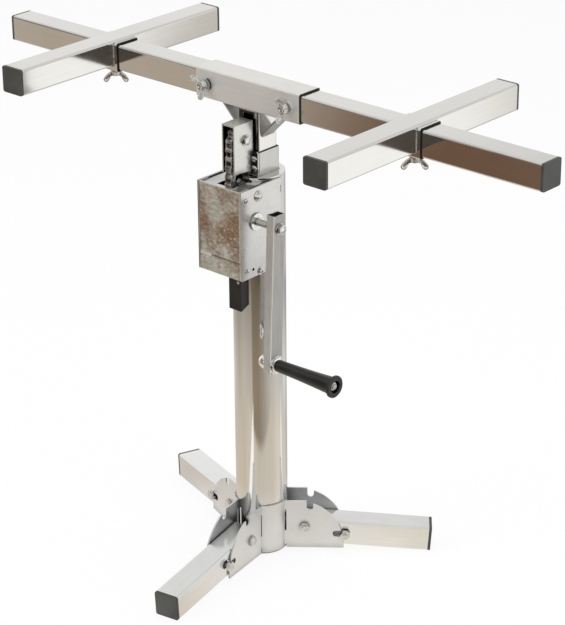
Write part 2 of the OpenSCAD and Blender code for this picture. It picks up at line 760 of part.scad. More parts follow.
module crank_gear() color("gray") at_yz(crank_c) difference() {
    along_x(gear_x, gear_x + gear_face) gear_2d(crank_teeth, mesh_angle, shaft_r);
    for (k = [0:4]) rotate([k * 72 + 36, 0, 0]) translate([0, 0, 13]) rod_x(4, 0, through);
}

module drive_gear() color("gray") at_yz(drive_c) along_x(gear_x, gear_x + gear_face)
    gear_2d(drive_teeth, mesh_angle + 180 + 180 / drive_teeth, shaft_r);

module crank_shaft() color("silver") at_yz(crank_c) rod_x(shaft_r, -side_out, crank_arm_x + crank_arm_t);

module drive_shaft() color("silver") at_yz(drive_c) {
    rod_x(shaft_r, -side_out, side_out + 0.3);
    // Domed end outside the right side plate
    translate([side_out + 0.3, 0, 0]) rotate([0, 90, 0]) rotate_extrude() intersection() {
        translate([0, -4.9]) circle(9.6);
        square([8.2, 4.7]);
    }
}

module drive_sprocket() color("gray") at_yz(drive_c)
    along_x(-sprocket_half, sprocket_half) sprocket_2d(drive_sprocket_teeth, drive_r, wrap_start, shaft_r);

// Load brake on the crank shaft

module brake_hub() color("silver") at_yz(crank_c) {
    difference() {
        union() {
            rod_x(ratchet_r - 2.5, ratchet_x1 + disc_t + 0.3, ratchet_x1 + disc_t + 0.3 + hub_t);
            rod_x(9, ratchet_x1 + disc_t + 0.3 + hub_t, -chain_half_w - 1);
        }
        rod_x(shaft_r, -through, through);
    }
    difference() {
        rod_x(ratchet_r - 4, brake_x0 + 1.5, ratchet_x0 - disc_t - 0.3);
        rod_x(shaft_r, -through, through);
    }
}

module friction_discs() color("saddlebrown") at_yz(crank_c)
    for (x = [ratchet_x1 + 0.3, ratchet_x0 - disc_t - 0.3]) difference() {
        rod_x(ratchet_r - 4, x, x + disc_t);
        rod_x(shaft_r, -through, through);
    }

module ratchet_wheel() color("gray") at_yz(crank_c) along_x(ratchet_x0, ratchet_x1) difference() {
    polygon([for (k = [0:ratchet_teeth - 1], tip = [0, 1])
        let (a = (k + tip * 0.92) * 360 / ratchet_teeth, r = tip == 1 ? ratchet_r : ratchet_r - 2.6)
        [r * cos(a), r * sin(a)]]);
    circle(shaft_r + 0.3);
}

module pawl_pin() color("silver") at_yz(pawl_c) {
    rod_x(pawl_pin_r, -side_in, ratchet_x1 + 2);
    rod_x(pawl_pin_r + 2.5, -side_in, ratchet_x0 - 0.4);
    rod_x(pawl_pin_r + 2, ratchet_x1 + 0.4, ratchet_x1 + 2);
}

// The pawl's nose lies in the gap before the ratchet tooth at the wheel's top
module pawl() color("dimgray") at_yz(crank_c) along_x(ratchet_x0, ratchet_x1) difference() {
    union() {
        translate(pawl_c - crank_c) circle(6);
        polygon([[-0.4, 16.8], [0.25, 18.9], [-1, 21.5], [-18, 25.8], [-20.5, 14.3], [-17, 14.4],
            [-6.9, 18.3]]);
    }
    translate(pawl_c - crank_c) circle(pawl_pin_r + shaft_play);
}

// Crank, in a frame hung from the crank shaft

module crank_frame() at_yz(crank_c) rotate([-crank_tilt, 0, 0]) children();

arm_x1 = crank_arm_x + crank_arm_t;

module crank_arm() color("silver") crank_frame() difference() {
    translate([crank_arm_x + crank_arm_t / 2, 0, -crank_throw - crank_foot_down])
        linear_extrude(crank_throw + crank_foot_down + crank_head_up) difference() {
            square([crank_arm_t, crank_arm_w], center = true);
            square([crank_arm_t - 2 * crank_arm_wall, crank_arm_w - 2 * crank_arm_wall], center = true);
        }
    rod_x(shaft_r, 0, through);
    translate([0, 0, -crank_throw]) rod_x(spindle_d / 2, 0, through);
}

module hub_bolt() color("silver") crank_frame() {
    rod_x(8.5, arm_x1, arm_x1 + 1.6);
    hex_x(hex_r, arm_x1 + 1.6, arm_x1 + 1.6 + hex_head_h);
}

module handle_spindle() color("silver") crank_frame() translate([0, 0, -crank_throw]) {
    rod_x(spindle_d / 2, crank_arm_x, grip_x1 - 1.5);
    // Dome head inside the arm's reach
    translate([crank_arm_x, 0, 0]) mirror([1, 0, 0]) rotate([0, 90, 0]) rotate_extrude() intersection() {
        translate([0, -5.4]) circle(11.2);
        square([dome_r, 5.8]);
    }
}

module handle_nuts() color("silver") crank_frame() translate([0, 0, -crank_throw]) {
    difference() {
        union() {
            rod_x(washer_r, arm_x1, arm_x1 + washer_t);
            hex_x(hex_r + 1, arm_x1 + washer_t, arm_x1 + washer_t + nut_t);
        }
        rod_x(spindle_d / 2, 0, 2 * through);
    }
    difference() {
        hex_x(6.6, grip_x1 - grip_recess + 0.5, grip_x1 - 2.5);
        rod_x(spindle_d / 2, 0, 2 * through);
    }
}

// Grip: a slim waist that swells towards the flange
function grip_r(t) = grip_d / 2 + (grip_end_d - grip_d) / 2 * pow(t, 1.6);

module grip_solid() {
    flange_r = grip_flange_d / 2;
    flange_y = grip_len - grip_flange_t;
    rotate_extrude() polygon([[0, 0], [grip_d / 2 - 1, 0],
        for (k = [0:grip_steps]) [grip_r(k / grip_steps), 1 + (flange_y - 3) * k / grip_steps],
        [flange_r - grip_edge, flange_y], [flange_r, flange_y + grip_edge], [flange_r, grip_len - grip_edge],
        [flange_r - grip_edge, grip_len], [0, grip_len]]);
}

module grip() color("black") crank_frame() translate([grip_x0, 0, -crank_throw]) rotate([0, 90, 0])
    difference() {
        grip_solid();
        translate([0, 0, -1]) cylinder(r = spindle_d / 2 + shaft_play, h = grip_len + 2);
        translate([0, 0, grip_len - grip_recess]) cylinder(r = grip_recess_r, h = grip_recess + 1);
    }

// Mast and head tube

module mast_tube() color("silver") difference() {
    translate([0, 0, mast_foot]) linear_extrude(head_z0 - mast_foot) tube_2d(tube_w, tube_wall);
    translate([-chain_slot_w / 2, -tube_w / 2 - 1, mast_foot - 1])
        cube([chain_slot_w, tube_w / 2, head_z0 - mast_foot - 4]);
}

anchor_c = rollers[0];

// Lug across the slot at the mast's foot, pinned to the chain's last link
module chain_anchor() color("gray") difference() {
    union() {
        translate([-tube_w / 2 + tube_wall + 1.5, -tube_w / 2 + tube_wall, mast_foot])
            cube([tube_w - 2 * tube_wall - 3, 8, 6]);
        for (side = [0, 1]) mirror([side, 0, 0])
            translate([chain_half_w + 0.2, anchor_c[0] - 3.5, mast_foot])
                cube([chain_slot_w / 2 - chain_half_w - 0.4, 11, anchor_c[1] - mast_foot + 5]);
    }
    at_yz(anchor_c) rod_x(pin_r, -30, 30);
}

module head_tube() color("silver") difference() {
    union() {
        translate([0, 0, beam_z]) along_x(-head_len / 2, head_len / 2) tube_2d(sleeve_w, sleeve_wall);
        for (side = [-1, 1]) translate([side * wing_x, 0, beam_z])
            rod_y(wing_boss_r, -sleeve_w / 2 - wing_boss_t, -sleeve_w / 2);
    }
    for (side = [-1, 1]) translate([side * wing_x, 0, beam_z])
        rod_y(wing_shank_r + shaft_play, -sleeve_w, -tube_w / 2 + 1);
}

// Two flat strips brace the mast against the head tube at 45 degrees
module gusset_strips() color("silver") for (side = [0, 1]) mirror([side, 0, 0])
    translate([tube_w / 2, 0, head_z0 - gusset_reach]) along_y(-gusset_w / 2, gusset_w / 2)
        polygon([[0, 0], [gusset_reach, gusset_reach], [gusset_reach - gusset_t * sqrt(2), gusset_reach],
            [0, gusset_t * sqrt(2)]]);

// Wing bolt along +Z, with its tip at the origin
module wing_bolt(turn) rotate([0, 0, turn]) {
    boss_end = slide_gap + sleeve_wall + wing_boss_t;
    hub_top = boss_end + wing_bare;
    translate([0, 0, -hub_top]) cylinder(r = wing_shank_r, h = hub_top - wing_tip_gap);
    translate([0, 0, -hub_top - wing_hub_h]) {
        cylinder(r1 = wing_neck_r, r2 = wing_hub_r, h = wing_hub_h);
        // Two ears with dished faces
        for (side = [0, 1]) mirror([side, 0, 0]) difference() {
            along_y(-wing_t / 2, wing_t / 2) {
                polygon([[wing_neck_r - 2, 0.5], [wing_neck_r, wing_hub_h - 1], [15, -1], [14, -9], [8, -6]]);
                translate(wing_ear_c) circle(wing_ear_r);
            }
            for (face = [-1, 1]) along_y(face * wing_t / 2 - wing_dish, face * wing_t / 2 + wing_dish)
                translate(wing_ear_c) circle(wing_dish_r);
        }
    }
}

// On the head tube's front at x, and under a cross arm's sleeve at x
module front_wing_bolt(x, turn) color("silver") translate([x, -tube_w / 2, beam_z]) rotate([-90, 0, 0])
    wing_bolt(turn);
module under_wing_bolt(x) color("silver") translate([x, 0, beam_z - tube_w / 2]) wing_bolt(40);

module wing_bolt_1() front_wing_bolt(-wing_x, 60);
module wing_bolt_2() front_wing_bolt(wing_x, 90);
module wing_bolt_3() under_wing_bolt(-arm_x);
module wing_bolt_4() under_wing_bolt(arm_x);

// Beam halves and cross arms

module beam(inner_end, reach) translate([0, 0, beam_z]) along_x(inner_end, reach - cap_t)
    tube_2d(tube_w, tube_wall);

module beam_right() color("silver") beam(right_gap, right_reach);
module beam_left() color("silver") mirror([1, 0, 0]) beam(left_gap, left_reach);
module beam_cap_right() color("black") translate([right_reach, 0, beam_z]) end_cap();
module beam_cap_left() color("black") mirror([1, 0, 0]) translate([left_reach, 0, beam_z]) end_cap();

// A cross arm is notched over its sleeve, and the two are welded
module cross_arm(x) color("silver") difference() {
    union() {
        difference() {
            translate([x, 0, arm_top - tube_w / 2]) rotate([0, 0, 90])
                along_x(-arm_len / 2 + cap_t, arm_len / 2 - cap_t) tube_2d(tube_w, tube_wall);
            translate([x - tube_w, -sleeve_w / 2, beam_z - sleeve_w])
                cube([2 * tube_w, sleeve_w, sleeve_w * 1.5]);
        }
        translate([x, 0, beam_z]) along_x(-sleeve_len / 2, sleeve_len / 2) tube_2d(sleeve_w, sleeve_wall);
        translate([x, 0, head_z0 - wing_boss_t]) cylinder(r = wing_boss_r, h = wing_boss_t);
    }
    translate([x, 0, head_z0 - wing_boss_t - 1])
        cylinder(r = wing_shank_r + shaft_play, h = sleeve_wall + wing_boss_t + 2);
}

module arm_caps(x) color("black") for (side = [-1, 1])
    translate([x, side * arm_len / 2, arm_top - tube_w / 2]) rotate([0, 0, side * 90]) end_cap();

module cross_arm_left() cross_arm(-arm_x);
module cross_arm_right() cross_arm(arm_x);
module arm_caps_left() arm_caps(-arm_x);
module arm_caps_right() arm_caps(arm_x);

column_tube();
foot_plug();
column_ring();
guide_tube();
bracket_1();
bracket_2();
bracket_3();
pivot_bolts();
winch_sides();
cover_upper();
cover_lower();
winch_top();
winch_bottom();
winch_screws();
shaft_bushes();
chain_guard();
idler_housing();
idler_bolts();
lift_chain();
ratchet_wheel();
pawl_pin();
idler_sprocket();
crank_shaft();
crank_gear();
brake_hub();
friction_discs();
crank_arm();
hub_bolt();
handle_spindle();
handle_nuts();
grip();
drive_shaft();
drive_sprocket();
drive_gear();
pawl();
mast_tube();
chain_anchor();
head_tube();
gusset_strips();
wing_bolt_1();
wing_bolt_2();
beam_left();
beam_cap_left();
beam_right();
beam_cap_right();
cross_arm_left();
arm_caps_left();
wing_bolt_3();
cross_arm_right();
arm_caps_right();
wing_bolt_4();
leg_tube_1();
leg_cap_1();
lock_bolt_1();
leg_tube_2();
leg_cap_2();
lock_bolt_2();
leg_tube_3();
leg_cap_3();
lock_bolt_3();
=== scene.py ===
# Looks of a cabinet lift jack: finishes, small fasteners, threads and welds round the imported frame.
# The frame is the model's own: X along the beam, Y along the cross arms, Z up. Pieces are laid out in
# millimetres and made in metres; the studio round them is laid out in metres.
import json
import math
import random

import bmesh
import bpy
from mathutils import Matrix, Vector
from mathutils.geometry import tessellate_polygon


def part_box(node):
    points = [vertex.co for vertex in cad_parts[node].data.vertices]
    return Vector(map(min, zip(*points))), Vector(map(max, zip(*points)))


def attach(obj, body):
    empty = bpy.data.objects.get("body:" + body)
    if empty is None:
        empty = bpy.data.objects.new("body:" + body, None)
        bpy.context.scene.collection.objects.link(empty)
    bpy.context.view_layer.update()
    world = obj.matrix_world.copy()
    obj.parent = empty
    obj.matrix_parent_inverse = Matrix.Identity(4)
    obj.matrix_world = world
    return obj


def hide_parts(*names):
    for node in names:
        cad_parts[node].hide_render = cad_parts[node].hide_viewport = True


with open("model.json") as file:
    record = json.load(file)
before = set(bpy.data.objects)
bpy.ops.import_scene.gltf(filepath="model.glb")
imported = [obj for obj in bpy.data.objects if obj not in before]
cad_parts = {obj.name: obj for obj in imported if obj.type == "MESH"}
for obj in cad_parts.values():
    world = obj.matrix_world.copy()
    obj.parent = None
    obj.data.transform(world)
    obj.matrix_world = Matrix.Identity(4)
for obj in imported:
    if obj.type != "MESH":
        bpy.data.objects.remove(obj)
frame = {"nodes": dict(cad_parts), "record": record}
NODES = frame["nodes"]
JOINTS = {joint["name"]: joint for joint in frame["record"]["behaviour"]["joints"]}
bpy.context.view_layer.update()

MM = 0.001
random.seed(7)


def box_mm(node):
    """A node's lowest and highest corners, in millimetres."""
    return [Vector(corner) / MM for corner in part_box(node)]


def joint_mm(name):
    return Vector(JOINTS[name]["pos_m"]) / MM


# Camera: fitted to the photograph's 565 x 625 frame, with lengths in millimetres

CAMERA_TURNS = (41.809, 24.167, -0.418)  # azimuth, elevation and roll, in degrees
CAMERA_TARGET = (43.55, 0, 389.59)
CAMERA_DISTANCE = 3268.05
CAMERA_LENS = 132.89


def make_camera():
    azimuth, elevation, roll = (math.radians(a) for a in CAMERA_TURNS)
    back = Vector((math.sin(azimuth) * math.cos(elevation), -math.cos(azimuth) * math.cos(elevation),
                   math.sin(elevation)))
    side = (-back).cross(Vector((0, 0, 1))).normalized()
    up = side.cross(-back)
    turned_side = side * math.cos(roll) + up * math.sin(roll)
    turned_up = up * math.cos(roll) - side * math.sin(roll)
    target = Vector(CAMERA_TARGET) * MM
    data = bpy.data.cameras.new("camera")
    data.lens = CAMERA_LENS
    data.sensor_width = 36
    data.clip_end = 100
    camera = bpy.data.objects.new("camera", data)
    bpy.context.scene.collection.objects.link(camera)
    turn = Matrix((turned_side, turned_up, back)).transposed().to_4x4()
    camera.matrix_world = Matrix.Translation(target + back * CAMERA_DISTANCE * MM) @ turn
    bpy.context.scene.camera = camera


# Node helpers

class Shader:
    """A material with one Principled shader, and short calls for the nodes that feed it."""

    def __init__(self, name, color=(0.8, 0.8, 0.8), metallic=0.0, roughness=0.5):
        self.material = bpy.data.materials.new(name)
        self.material.use_nodes = True
        self.tree = self.material.node_tree
        self.shader = self.tree.nodes["Principled BSDF"]
        self.shader.inputs["Base Color"].default_value = (*color, 1)
        self.shader.inputs["Metallic"].default_value = metallic
        self.shader.inputs["Roughness"].default_value = roughness

    def node(self, kind, **values):
        made = self.tree.nodes.new(kind)
        for key, value in values.items():
            setattr(made, key, value)
        return made

    def link(self, source, target):
        self.tree.links.new(source, target)

    def put(self, value, target):
        if isinstance(value, bpy.types.NodeSocket):
            self.link(value, target)
        else:
            target.default_value = value

    def place(self, turn=0.0, slope=0.0, stretch=(1, 1, 1)):
        """Object coordinates, turned so that X runs along a piece, then stretched."""
        coordinates = self.node("ShaderNodeTexCoord").outputs["Object"]
        turned = self.node("ShaderNodeMapping")
        turned.inputs["Rotation"].default_value = (0, slope, -turn)
        stretched = self.node("ShaderNodeMapping")
        stretched.inputs["Scale"].default_value = stretch
        self.link(coordinates, turned.inputs["Vector"])
        self.link(turned.outputs["Vector"], stretched.inputs["Vector"])
        return stretched.outputs["Vector"]

    def noise(self, where, scale, detail=3.0, roughness=0.55):
        made = self.node("ShaderNodeTexNoise")
        made.inputs["Scale"].default_value = scale
        made.inputs["Detail"].default_value = detail
        made.inputs["Roughness"].default_value = roughness
        self.link(where, made.inputs["Vector"])
        return made.outputs["Fac"]

    def cells(self, where, scale):
        made = self.node("ShaderNodeTexVoronoi")
        made.inputs["Scale"].default_value = scale
        self.link(where, made.inputs["Vector"])
        return made.outputs["Color"]

    def ramp(self, factor, stops):
        made = self.node("ShaderNodeValToRGB")
        ramp = made.color_ramp
        while len(ramp.elements) < len(stops):
            ramp.elements.new(0.5)
        for element, (place, color) in zip(ramp.elements, stops):
            element.position = place
            element.color = (*color, 1) if isinstance(color, tuple) else (color, color, color, 1)
        self.link(factor, made.inputs["Fac"])
        return made.outputs["Color"]

    def mix(self, factor, first, second, blend="MIX"):
        made = self.node("ShaderNodeMix", data_type="RGBA", blend_type=blend)
        for value, socket in ((factor, 0), (first, 6), (second, 7)):
            self.put(value, made.inputs[socket])
        return made.outputs[2]

    def math(self, operation, first, second=0.0):
        made = self.node("ShaderNodeMath", operation=operation)
        self.put(first, made.inputs[0])
        self.put(second, made.inputs[1])
        return made.outputs[0]

    def span(self, factor, low, high, start=0.3, end=0.7):
        made = self.node("ShaderNodeMapRange")
        for socket, value in (("From Min", start), ("From Max", end), ("To Min", low), ("To Max", high)):
            made.inputs[socket].default_value = value
        self.link(factor, made.inputs["Value"])
        return made.outputs["Result"]

    def cut_ends_and_inner_shade(self, axis, low, high, inside_of=None):
        """1 on the sawn ends of a tube and on its inner walls, 0 on its outer walls; the dark given to the
        inner walls is painted shade.
        """
        end_depth, end_facing, inner_wall = 0.3 * MM, 0.6, -2 * MM
        coordinates = self.node("ShaderNodeTexCoord")
        place = self.node("ShaderNodeSeparateXYZ")
        normal = self.node("ShaderNodeSeparateXYZ")
        self.link(coordinates.outputs["Object"], place.inputs[0])
        self.link(coordinates.outputs["Normal"], normal.inputs[0])
        middle, half = (low + high) / 2 * MM, (high - low) / 2 * MM
        off = self.math("ABSOLUTE", self.math("SUBTRACT", place.outputs[axis], middle))
        near_end = self.math("GREATER_THAN", off, half - end_depth)
        faces_out = self.math("GREATER_THAN", self.math("ABSOLUTE", normal.outputs[axis]), end_facing)
        ends = self.math("MULTIPLY", near_end, faces_out)
        if inside_of is None:
            return ends
        from_axis = self.node("ShaderNodeVectorMath", operation="SUBTRACT")
        from_axis.inputs[1].default_value = inside_of * MM
        self.link(coordinates.outputs["Object"], from_axis.inputs[0])
        outward = self.node("ShaderNodeVectorMath", operation="DOT_PRODUCT")
        self.link(from_axis.outputs["Vector"], outward.inputs[0])
        self.link(coordinates.outputs["Normal"], outward.inputs[1])
        return self.math("MAXIMUM", ends, self.math("LESS_THAN", outward.outputs["Value"], inner_wall))

    def object_place(self):
        """The object coordinates' three sockets, in metres."""
        split = self.node("ShaderNodeSeparateXYZ")
        self.link(self.node("ShaderNodeTexCoord").outputs["Object"], split.inputs[0])
        return split.outputs

    def facing(self, axis, sign):
        """1 on faces that look along an axis, 0 elsewhere."""
        nearly = 0.8
        split = self.node("ShaderNodeSeparateXYZ")
        self.link(self.node("ShaderNodeTexCoord").outputs["Normal"], split.inputs[0])
        return self.math("GREATER_THAN", self.math("MULTIPLY", split.outputs[axis], sign), nearly)

    def painted_crevice_shade(self, tone, reach, depth):
        """Painted shade: darkens a tone where other surfaces stand close to it."""
        nearby = self.node("ShaderNodeAmbientOcclusion", samples=8)
        nearby.inputs["Distance"].default_value = reach * MM
        shade = self.ramp(nearby.outputs["AO"], [(0.15, depth), (0.85, 1.0)])
        return self.mix(1.0, tone, shade, "MULTIPLY")

    def color(self, source):
        self.link(source, self.shader.inputs["Base Color"])

    def roughness(self, source):
        self.link(source, self.shader.inputs["Roughness"])

    def bump(self, height, strength, distance):
        made = self.node("ShaderNodeBump")
        made.inputs["Strength"].default_value = strength
        made.inputs["Distance"].default_value = distance
        self.link(height, made.inputs["Height"])
        self.link(made.outputs["Normal"], self.shader.inputs["Normal"])


# Materials

ALONG_X = (1.2, 40, 40)
ALONG_Z = (40, 40, 1.2)
# Dark of sawn cut edges, also used as painted shade inside tubes and the housing and beside plate edges
CUT_AND_SHADE_DARK = (0.060, 0.057, 0.053, 1)


def tube_steel(name, light, dark, rough=(0.10, 0.20), stretch=ALONG_X, turn=0.0, slope=0.0, grain=0.10,
               cut_and_inner_shade=None, painted_shading=None, metal=1.0):
    """Polished stainless tube: faint drawing lines along its length and cloudy handling marks."""
    s = Shader(name, metallic=metal)
    lines = s.noise(s.place(turn, slope, stretch), 14, 4)
    clouds = s.noise(s.place(), 7, 3)
    tone = s.mix(s.span(clouds, 0, 1), (*dark, 1), (*light, 1))
    tone = s.mix(0.35, tone, s.ramp(lines, [(0.35, dark), (0.65, light)]))
    shine = s.span(clouds, rough[0], rough[1])
    # Sawn ends darkened as cut edges, inner walls darkened as painted shade
    if cut_and_inner_shade is not None:
        cut_and_shade = s.cut_ends_and_inner_shade(*cut_and_inner_shade)
        tone = s.mix(cut_and_shade, tone, CUT_AND_SHADE_DARK)
        shine = s.math("MAXIMUM", shine, s.math("MULTIPLY", cut_and_shade, 0.5))
    # Painted shading from the given function: shade, reflection and highlights laid on faces
    if painted_shading is not None:
        tone = painted_shading(s, tone)
    s.color(tone)
    s.roughness(shine)
    s.bump(lines, grain, 0.02 * MM)
    return s.material


def galvanised(name, light, dark, rough=(0.30, 0.44), painted_shading=None):
    """Zinc-coated sheet: soft spangle, small scuffs and a duller skin."""
    s = Shader(name, metallic=0.9)
    where = s.place()
    spangle = s.cells(where, 160)
    clouds = s.noise(where, 22, 4)
    scuffs = s.noise(s.place(0.6, 0, (30, 260, 120)), 3, 2)
    tone = s.mix(s.span(clouds, 0, 1), (*dark, 1), (*light, 1))
    tone = s.mix(0.10, tone, s.ramp(spangle, [(0.0, dark), (1.0, light)]), "SOFT_LIGHT")
    tone = s.mix(s.span(scuffs, 0, 0.4, 0.62, 0.72), tone, (*light, 1))
    # Painted shading from the given function, such as shade in a seam, beside an edge and on inner walls
    if painted_shading is not None:
        tone = painted_shading(s, tone)
    # Painted shade where other surfaces stand close, such as between the bracket cheeks
    s.color(s.painted_crevice_shade(tone, 22, 0.16))
    s.roughness(s.span(clouds, rough[0], rough[1]))
    s.bump(clouds, 0.08, 0.1 * MM)
    return s.material


def left_edge_and_shade(s, tone):
    """The winch's left plate shows a dark front edge: its cut edge, with painted shade beside it."""
    plate_x = -39.5
    left = s.math("LESS_THAN", s.object_place()["X"], plate_x * MM)
    return s.mix(s.math("MULTIPLY", left, s.facing("Y", -1)), tone, CUT_AND_SHADE_DARK)


def painted_seam_shade(s, tone):
    """Painted shade of a gap along the top plate's right edge, wider towards the column."""
    low, high = box_mm("winch_top")
    widening, past_edge = 0.11, 0.3
    place = s.object_place()
    width = s.math("MULTIPLY", s.math("SUBTRACT", place["Y"], low.y * MM), widening)
    inner = s.math("SUBTRACT", (high.x + past_edge) * MM, width)
    return s.mix(s.math("GREATER_THAN", place["X"], inner), tone, (0.02, 0.02, 0.02, 1))


def painted_inner_shade(s, tone):
    """Painted shade on the housing's inner walls."""
    low, high = box_mm("idler_housing")
    cut_and_shade = s.cut_ends_and_inner_shade("Y", -1000, 1000, Vector((0, (low.y + high.y) / 2, (low.z + high.z) / 2)))
    return s.mix(cut_and_shade, tone, CUT_AND_SHADE_DARK)


def painted_mast_shade(s, tone):
    """Painted shade and painted reflection on the mast's slotted face, lighter along the middle of its edge
    strip.
    """
    place = s.object_place()
    across = s.ramp(s.span(place["X"], 0, 1, 8 * MM, 20 * MM),
                    [(0.0, 0.05), (0.28, 0.10), (0.42, 0.80), (0.62, 0.62), (0.80, 0.10), (1.0, 0.06)])
    along = s.ramp(s.span(place["Z"], 0, 1, 630 * MM, 680 * MM),
                   [(0.0, 0.5), (0.2, 0.35), (0.4, 0.22), (0.7, 0.9)])
    painted_light = s.mix(1.0, across, along, "MULTIPLY")
    return s.mix(s.facing("Y", -1), tone, painted_light)


def crank_shade_and_highlight(s, tone):
    """The crank's broad side is scratched, and painted shade makes it darker than its narrow faces; a
    painted highlight runs along their shared corner.
    """
    painted_light = 1.6
    corner = s.math("GREATER_THAN", s.object_place()["X"], box_mm("crank_arm")[1].x * MM - painted_light * MM)
    tone = s.mix(s.facing("X", 1), tone, s.mix(1.0, tone, (0.84, 0.84, 0.84, 1), "MULTIPLY"))
    return s.mix(s.math("MULTIPLY", corner, s.facing("Y", -1)), tone, (0.90, 0.89, 0.87, 1))


# Stains on the winch's front sheet: a point on it in millimetres, the stain's reach and its strength
BROWN_STAINS = [((-30, -80, 538), 14, 0.9), ((-32, -80, 560), 8, 0.7), ((26, -80, 545), 13, 0.85),
                ((18, -80, 528), 14, 0.8), ((0, -80, 524), 12, 0.75), ((30, -80, 508), 8, 0.6)]
PALE_STAINS = [((-6, -80, 552), 15, 0.75), ((-22, -80, 472), 20, 0.5), ((20, -80, 470), 12, 0.4)]
COVER_RIGHT, COVER_TOP, COVER_LEFT = 36.6, 591.2, -37.1


def mottled_cover(name):
    """The winch's front sheet: brushed metal with brown and grey stains of many sizes."""
    s = Shader(name, metallic=0.8)
    spot = s.node("ShaderNodeTexCoord").outputs["Object"]
    place = s.object_place()
    large = s.noise(s.place(), 40, 4, 0.6)
    small = s.noise(s.place(0, 0, (1, 1, 1.6)), 150, 3, 0.6)
    streaks = s.noise(s.place(0, 0.5, (0.5, 1, 2.2)), 95, 3, 0.6)
    tone = s.ramp(large, [(0.36, (0.68, 0.67, 0.62)), (0.47, (0.54, 0.50, 0.44)), (0.58, (0.40, 0.33, 0.27)),
                          (0.68, (0.64, 0.60, 0.54))])

    def near(point, reach, strength):
        """A soft-edged patch round a point in millimetres."""
        wander, edge_start, edge_end = 26, 6, 22
        away = s.node("ShaderNodeVectorMath", operation="DISTANCE")
        away.inputs[1].default_value = Vector(point) * MM
        s.link(spot, away.inputs[0])
        ragged = s.math("ADD", away.outputs["Value"], s.math("MULTIPLY", streaks, wander * MM))
        return s.span(ragged, strength, 0.0, (reach + edge_start) * MM, (reach + edge_end) * MM)

    for stains, color in ((BROWN_STAINS, (0.33, 0.215, 0.14, 1)), (PALE_STAINS, (0.66, 0.69, 0.63, 1))):
        for point, reach, strength in stains:
            tone = s.mix(near(point, reach, strength), tone, color)
    specks = s.node("ShaderNodeTexVoronoi", feature="F1")
    specks.inputs["Scale"].default_value = 120
    s.link(s.place(0, 0.5, (1, 1, 1.6)), specks.inputs["Vector"])
    dots = s.span(specks.outputs["Distance"], 0.6, 0.0, 0.10, 0.40)
    lower_right = near((16, -80, 512), 24, 1.0)
    tone = s.mix(s.math("MULTIPLY", dots, lower_right), tone, (0.92, 0.86, 0.78, 1))
    tone = s.mix(0.75, tone, s.ramp(small, [(0.36, 0.16), (0.52, 0.50), (0.66, 0.90)]), "SOFT_LIGHT")
    seam_z, highlight_until = box_mm("cover_lower")[1].z, -17
    seam = s.math("MULTIPLY", s.math("GREATER_THAN", place["Z"], (seam_z - 1.6) * MM),
                  s.math("LESS_THAN", place["Z"], (seam_z + 1.4) * MM))
    tone = s.mix(s.math("MULTIPLY", seam, 0.4), tone, (0.10, 0.09, 0.08, 1))
    # A painted highlight along the left part of the seam
    painted_light = s.math("MULTIPLY", seam, s.math("LESS_THAN", place["X"], highlight_until * MM))
    tone = s.mix(painted_light, tone, (1.0, 1.0, 0.98, 1))
    # A painted highlight along the cover's right and top edges
    edge = s.math("MAXIMUM", s.math("GREATER_THAN", place["X"], COVER_RIGHT * MM),
                  s.math("GREATER_THAN", place["Z"], COVER_TOP * MM))
    tone = s.mix(s.math("MULTIPLY", edge, 0.7), tone, (0.86, 0.86, 0.84, 1))
    # The cover's left edge: its cut edge, with painted shade beside it
    tone = s.mix(s.math("LESS_THAN", place["X"], COVER_LEFT * MM), tone, CUT_AND_SHADE_DARK)
    s.color(tone)
    s.roughness(s.span(small, 0.30, 0.50))
    s.bump(small, 0.25, 0.12 * MM)
    return s.material


def bright_zinc(name, light=(0.76, 0.76, 0.74), dark=(0.56, 0.56, 0.54), seat=0.06):
    """Plated fasteners, with painted shade where they meet their seats."""
    s = Shader(name, metallic=1.0)
    clouds = s.noise(s.place(), 240, 3)
    s.color(s.painted_crevice_shade(s.ramp(clouds, [(0.35, dark), (0.65, light)]), 6, seat))
    s.roughness(s.span(clouds, 0.07, 0.18))
    s.bump(clouds, 0.10, 0.1 * MM)
    return s.material


def weld_metal(name):
    """Weld bead: straw and grey heat tints over a rippled, half-bright surface."""
    s = Shader(name, metallic=1.0)
    heat = s.noise(s.place(), 90, 4)
    s.color(s.ramp(heat, [(0.36, (0.26, 0.24, 0.22)), (0.50, (0.48, 0.46, 0.43)),
                          (0.64, (0.34, 0.30, 0.25))]))
    s.roughness(s.span(heat, 0.22, 0.42))
    s.bump(heat, 0.2, 0.1 * MM)
    return s.material


def oiled_steel(name, light, dark):
    s = Shader(name, metallic=0.9)
    grease = s.noise(s.place(), 180, 4)
    s.color(s.ramp(grease, [(0.35, dark), (0.68, light)]))
    s.roughness(s.span(grease, 0.26, 0.5))
    s.bump(grease, 0.15, 0.1 * MM)
    return s.material


def moulded_plastic(name, light, dark, rough=(0.38, 0.5), grain=900, height=0.12):
    s = Shader(name)
    skin = s.noise(s.place(), grain, 2)
    dust = s.noise(s.place(), 30, 5)
    s.color(s.ramp(dust, [(0.40, dark), (0.75, light)]))
    s.roughness(s.span(dust, rough[0], rough[1]))
    s.bump(skin, height, 0.1 * MM)
    return s.material


def brake_lining(name):
    s = Shader(name, roughness=0.8)
    fibres = s.noise(s.place(0, 0, (1, 3, 1)), 420, 5)
    s.color(s.ramp(fibres, [(0.35, (0.14, 0.09, 0.06)), (0.65, (0.34, 0.25, 0.17))]))
    s.bump(fibres, 0.4, 0.2 * MM)
    return s.material


STEEL_LIGHT = (0.77, 0.765, 0.75)
STEEL_DARK = (0.70, 0.69, 0.67)
BRUSHED_LIGHT = (0.70, 0.685, 0.66)
BRUSHED_DARK = (0.60, 0.585, 0.56)
LEG_TURNS = [math.radians(39.4 + 120 * k) for k in range(3)]
LEG_SLOPE = math.radians(4)


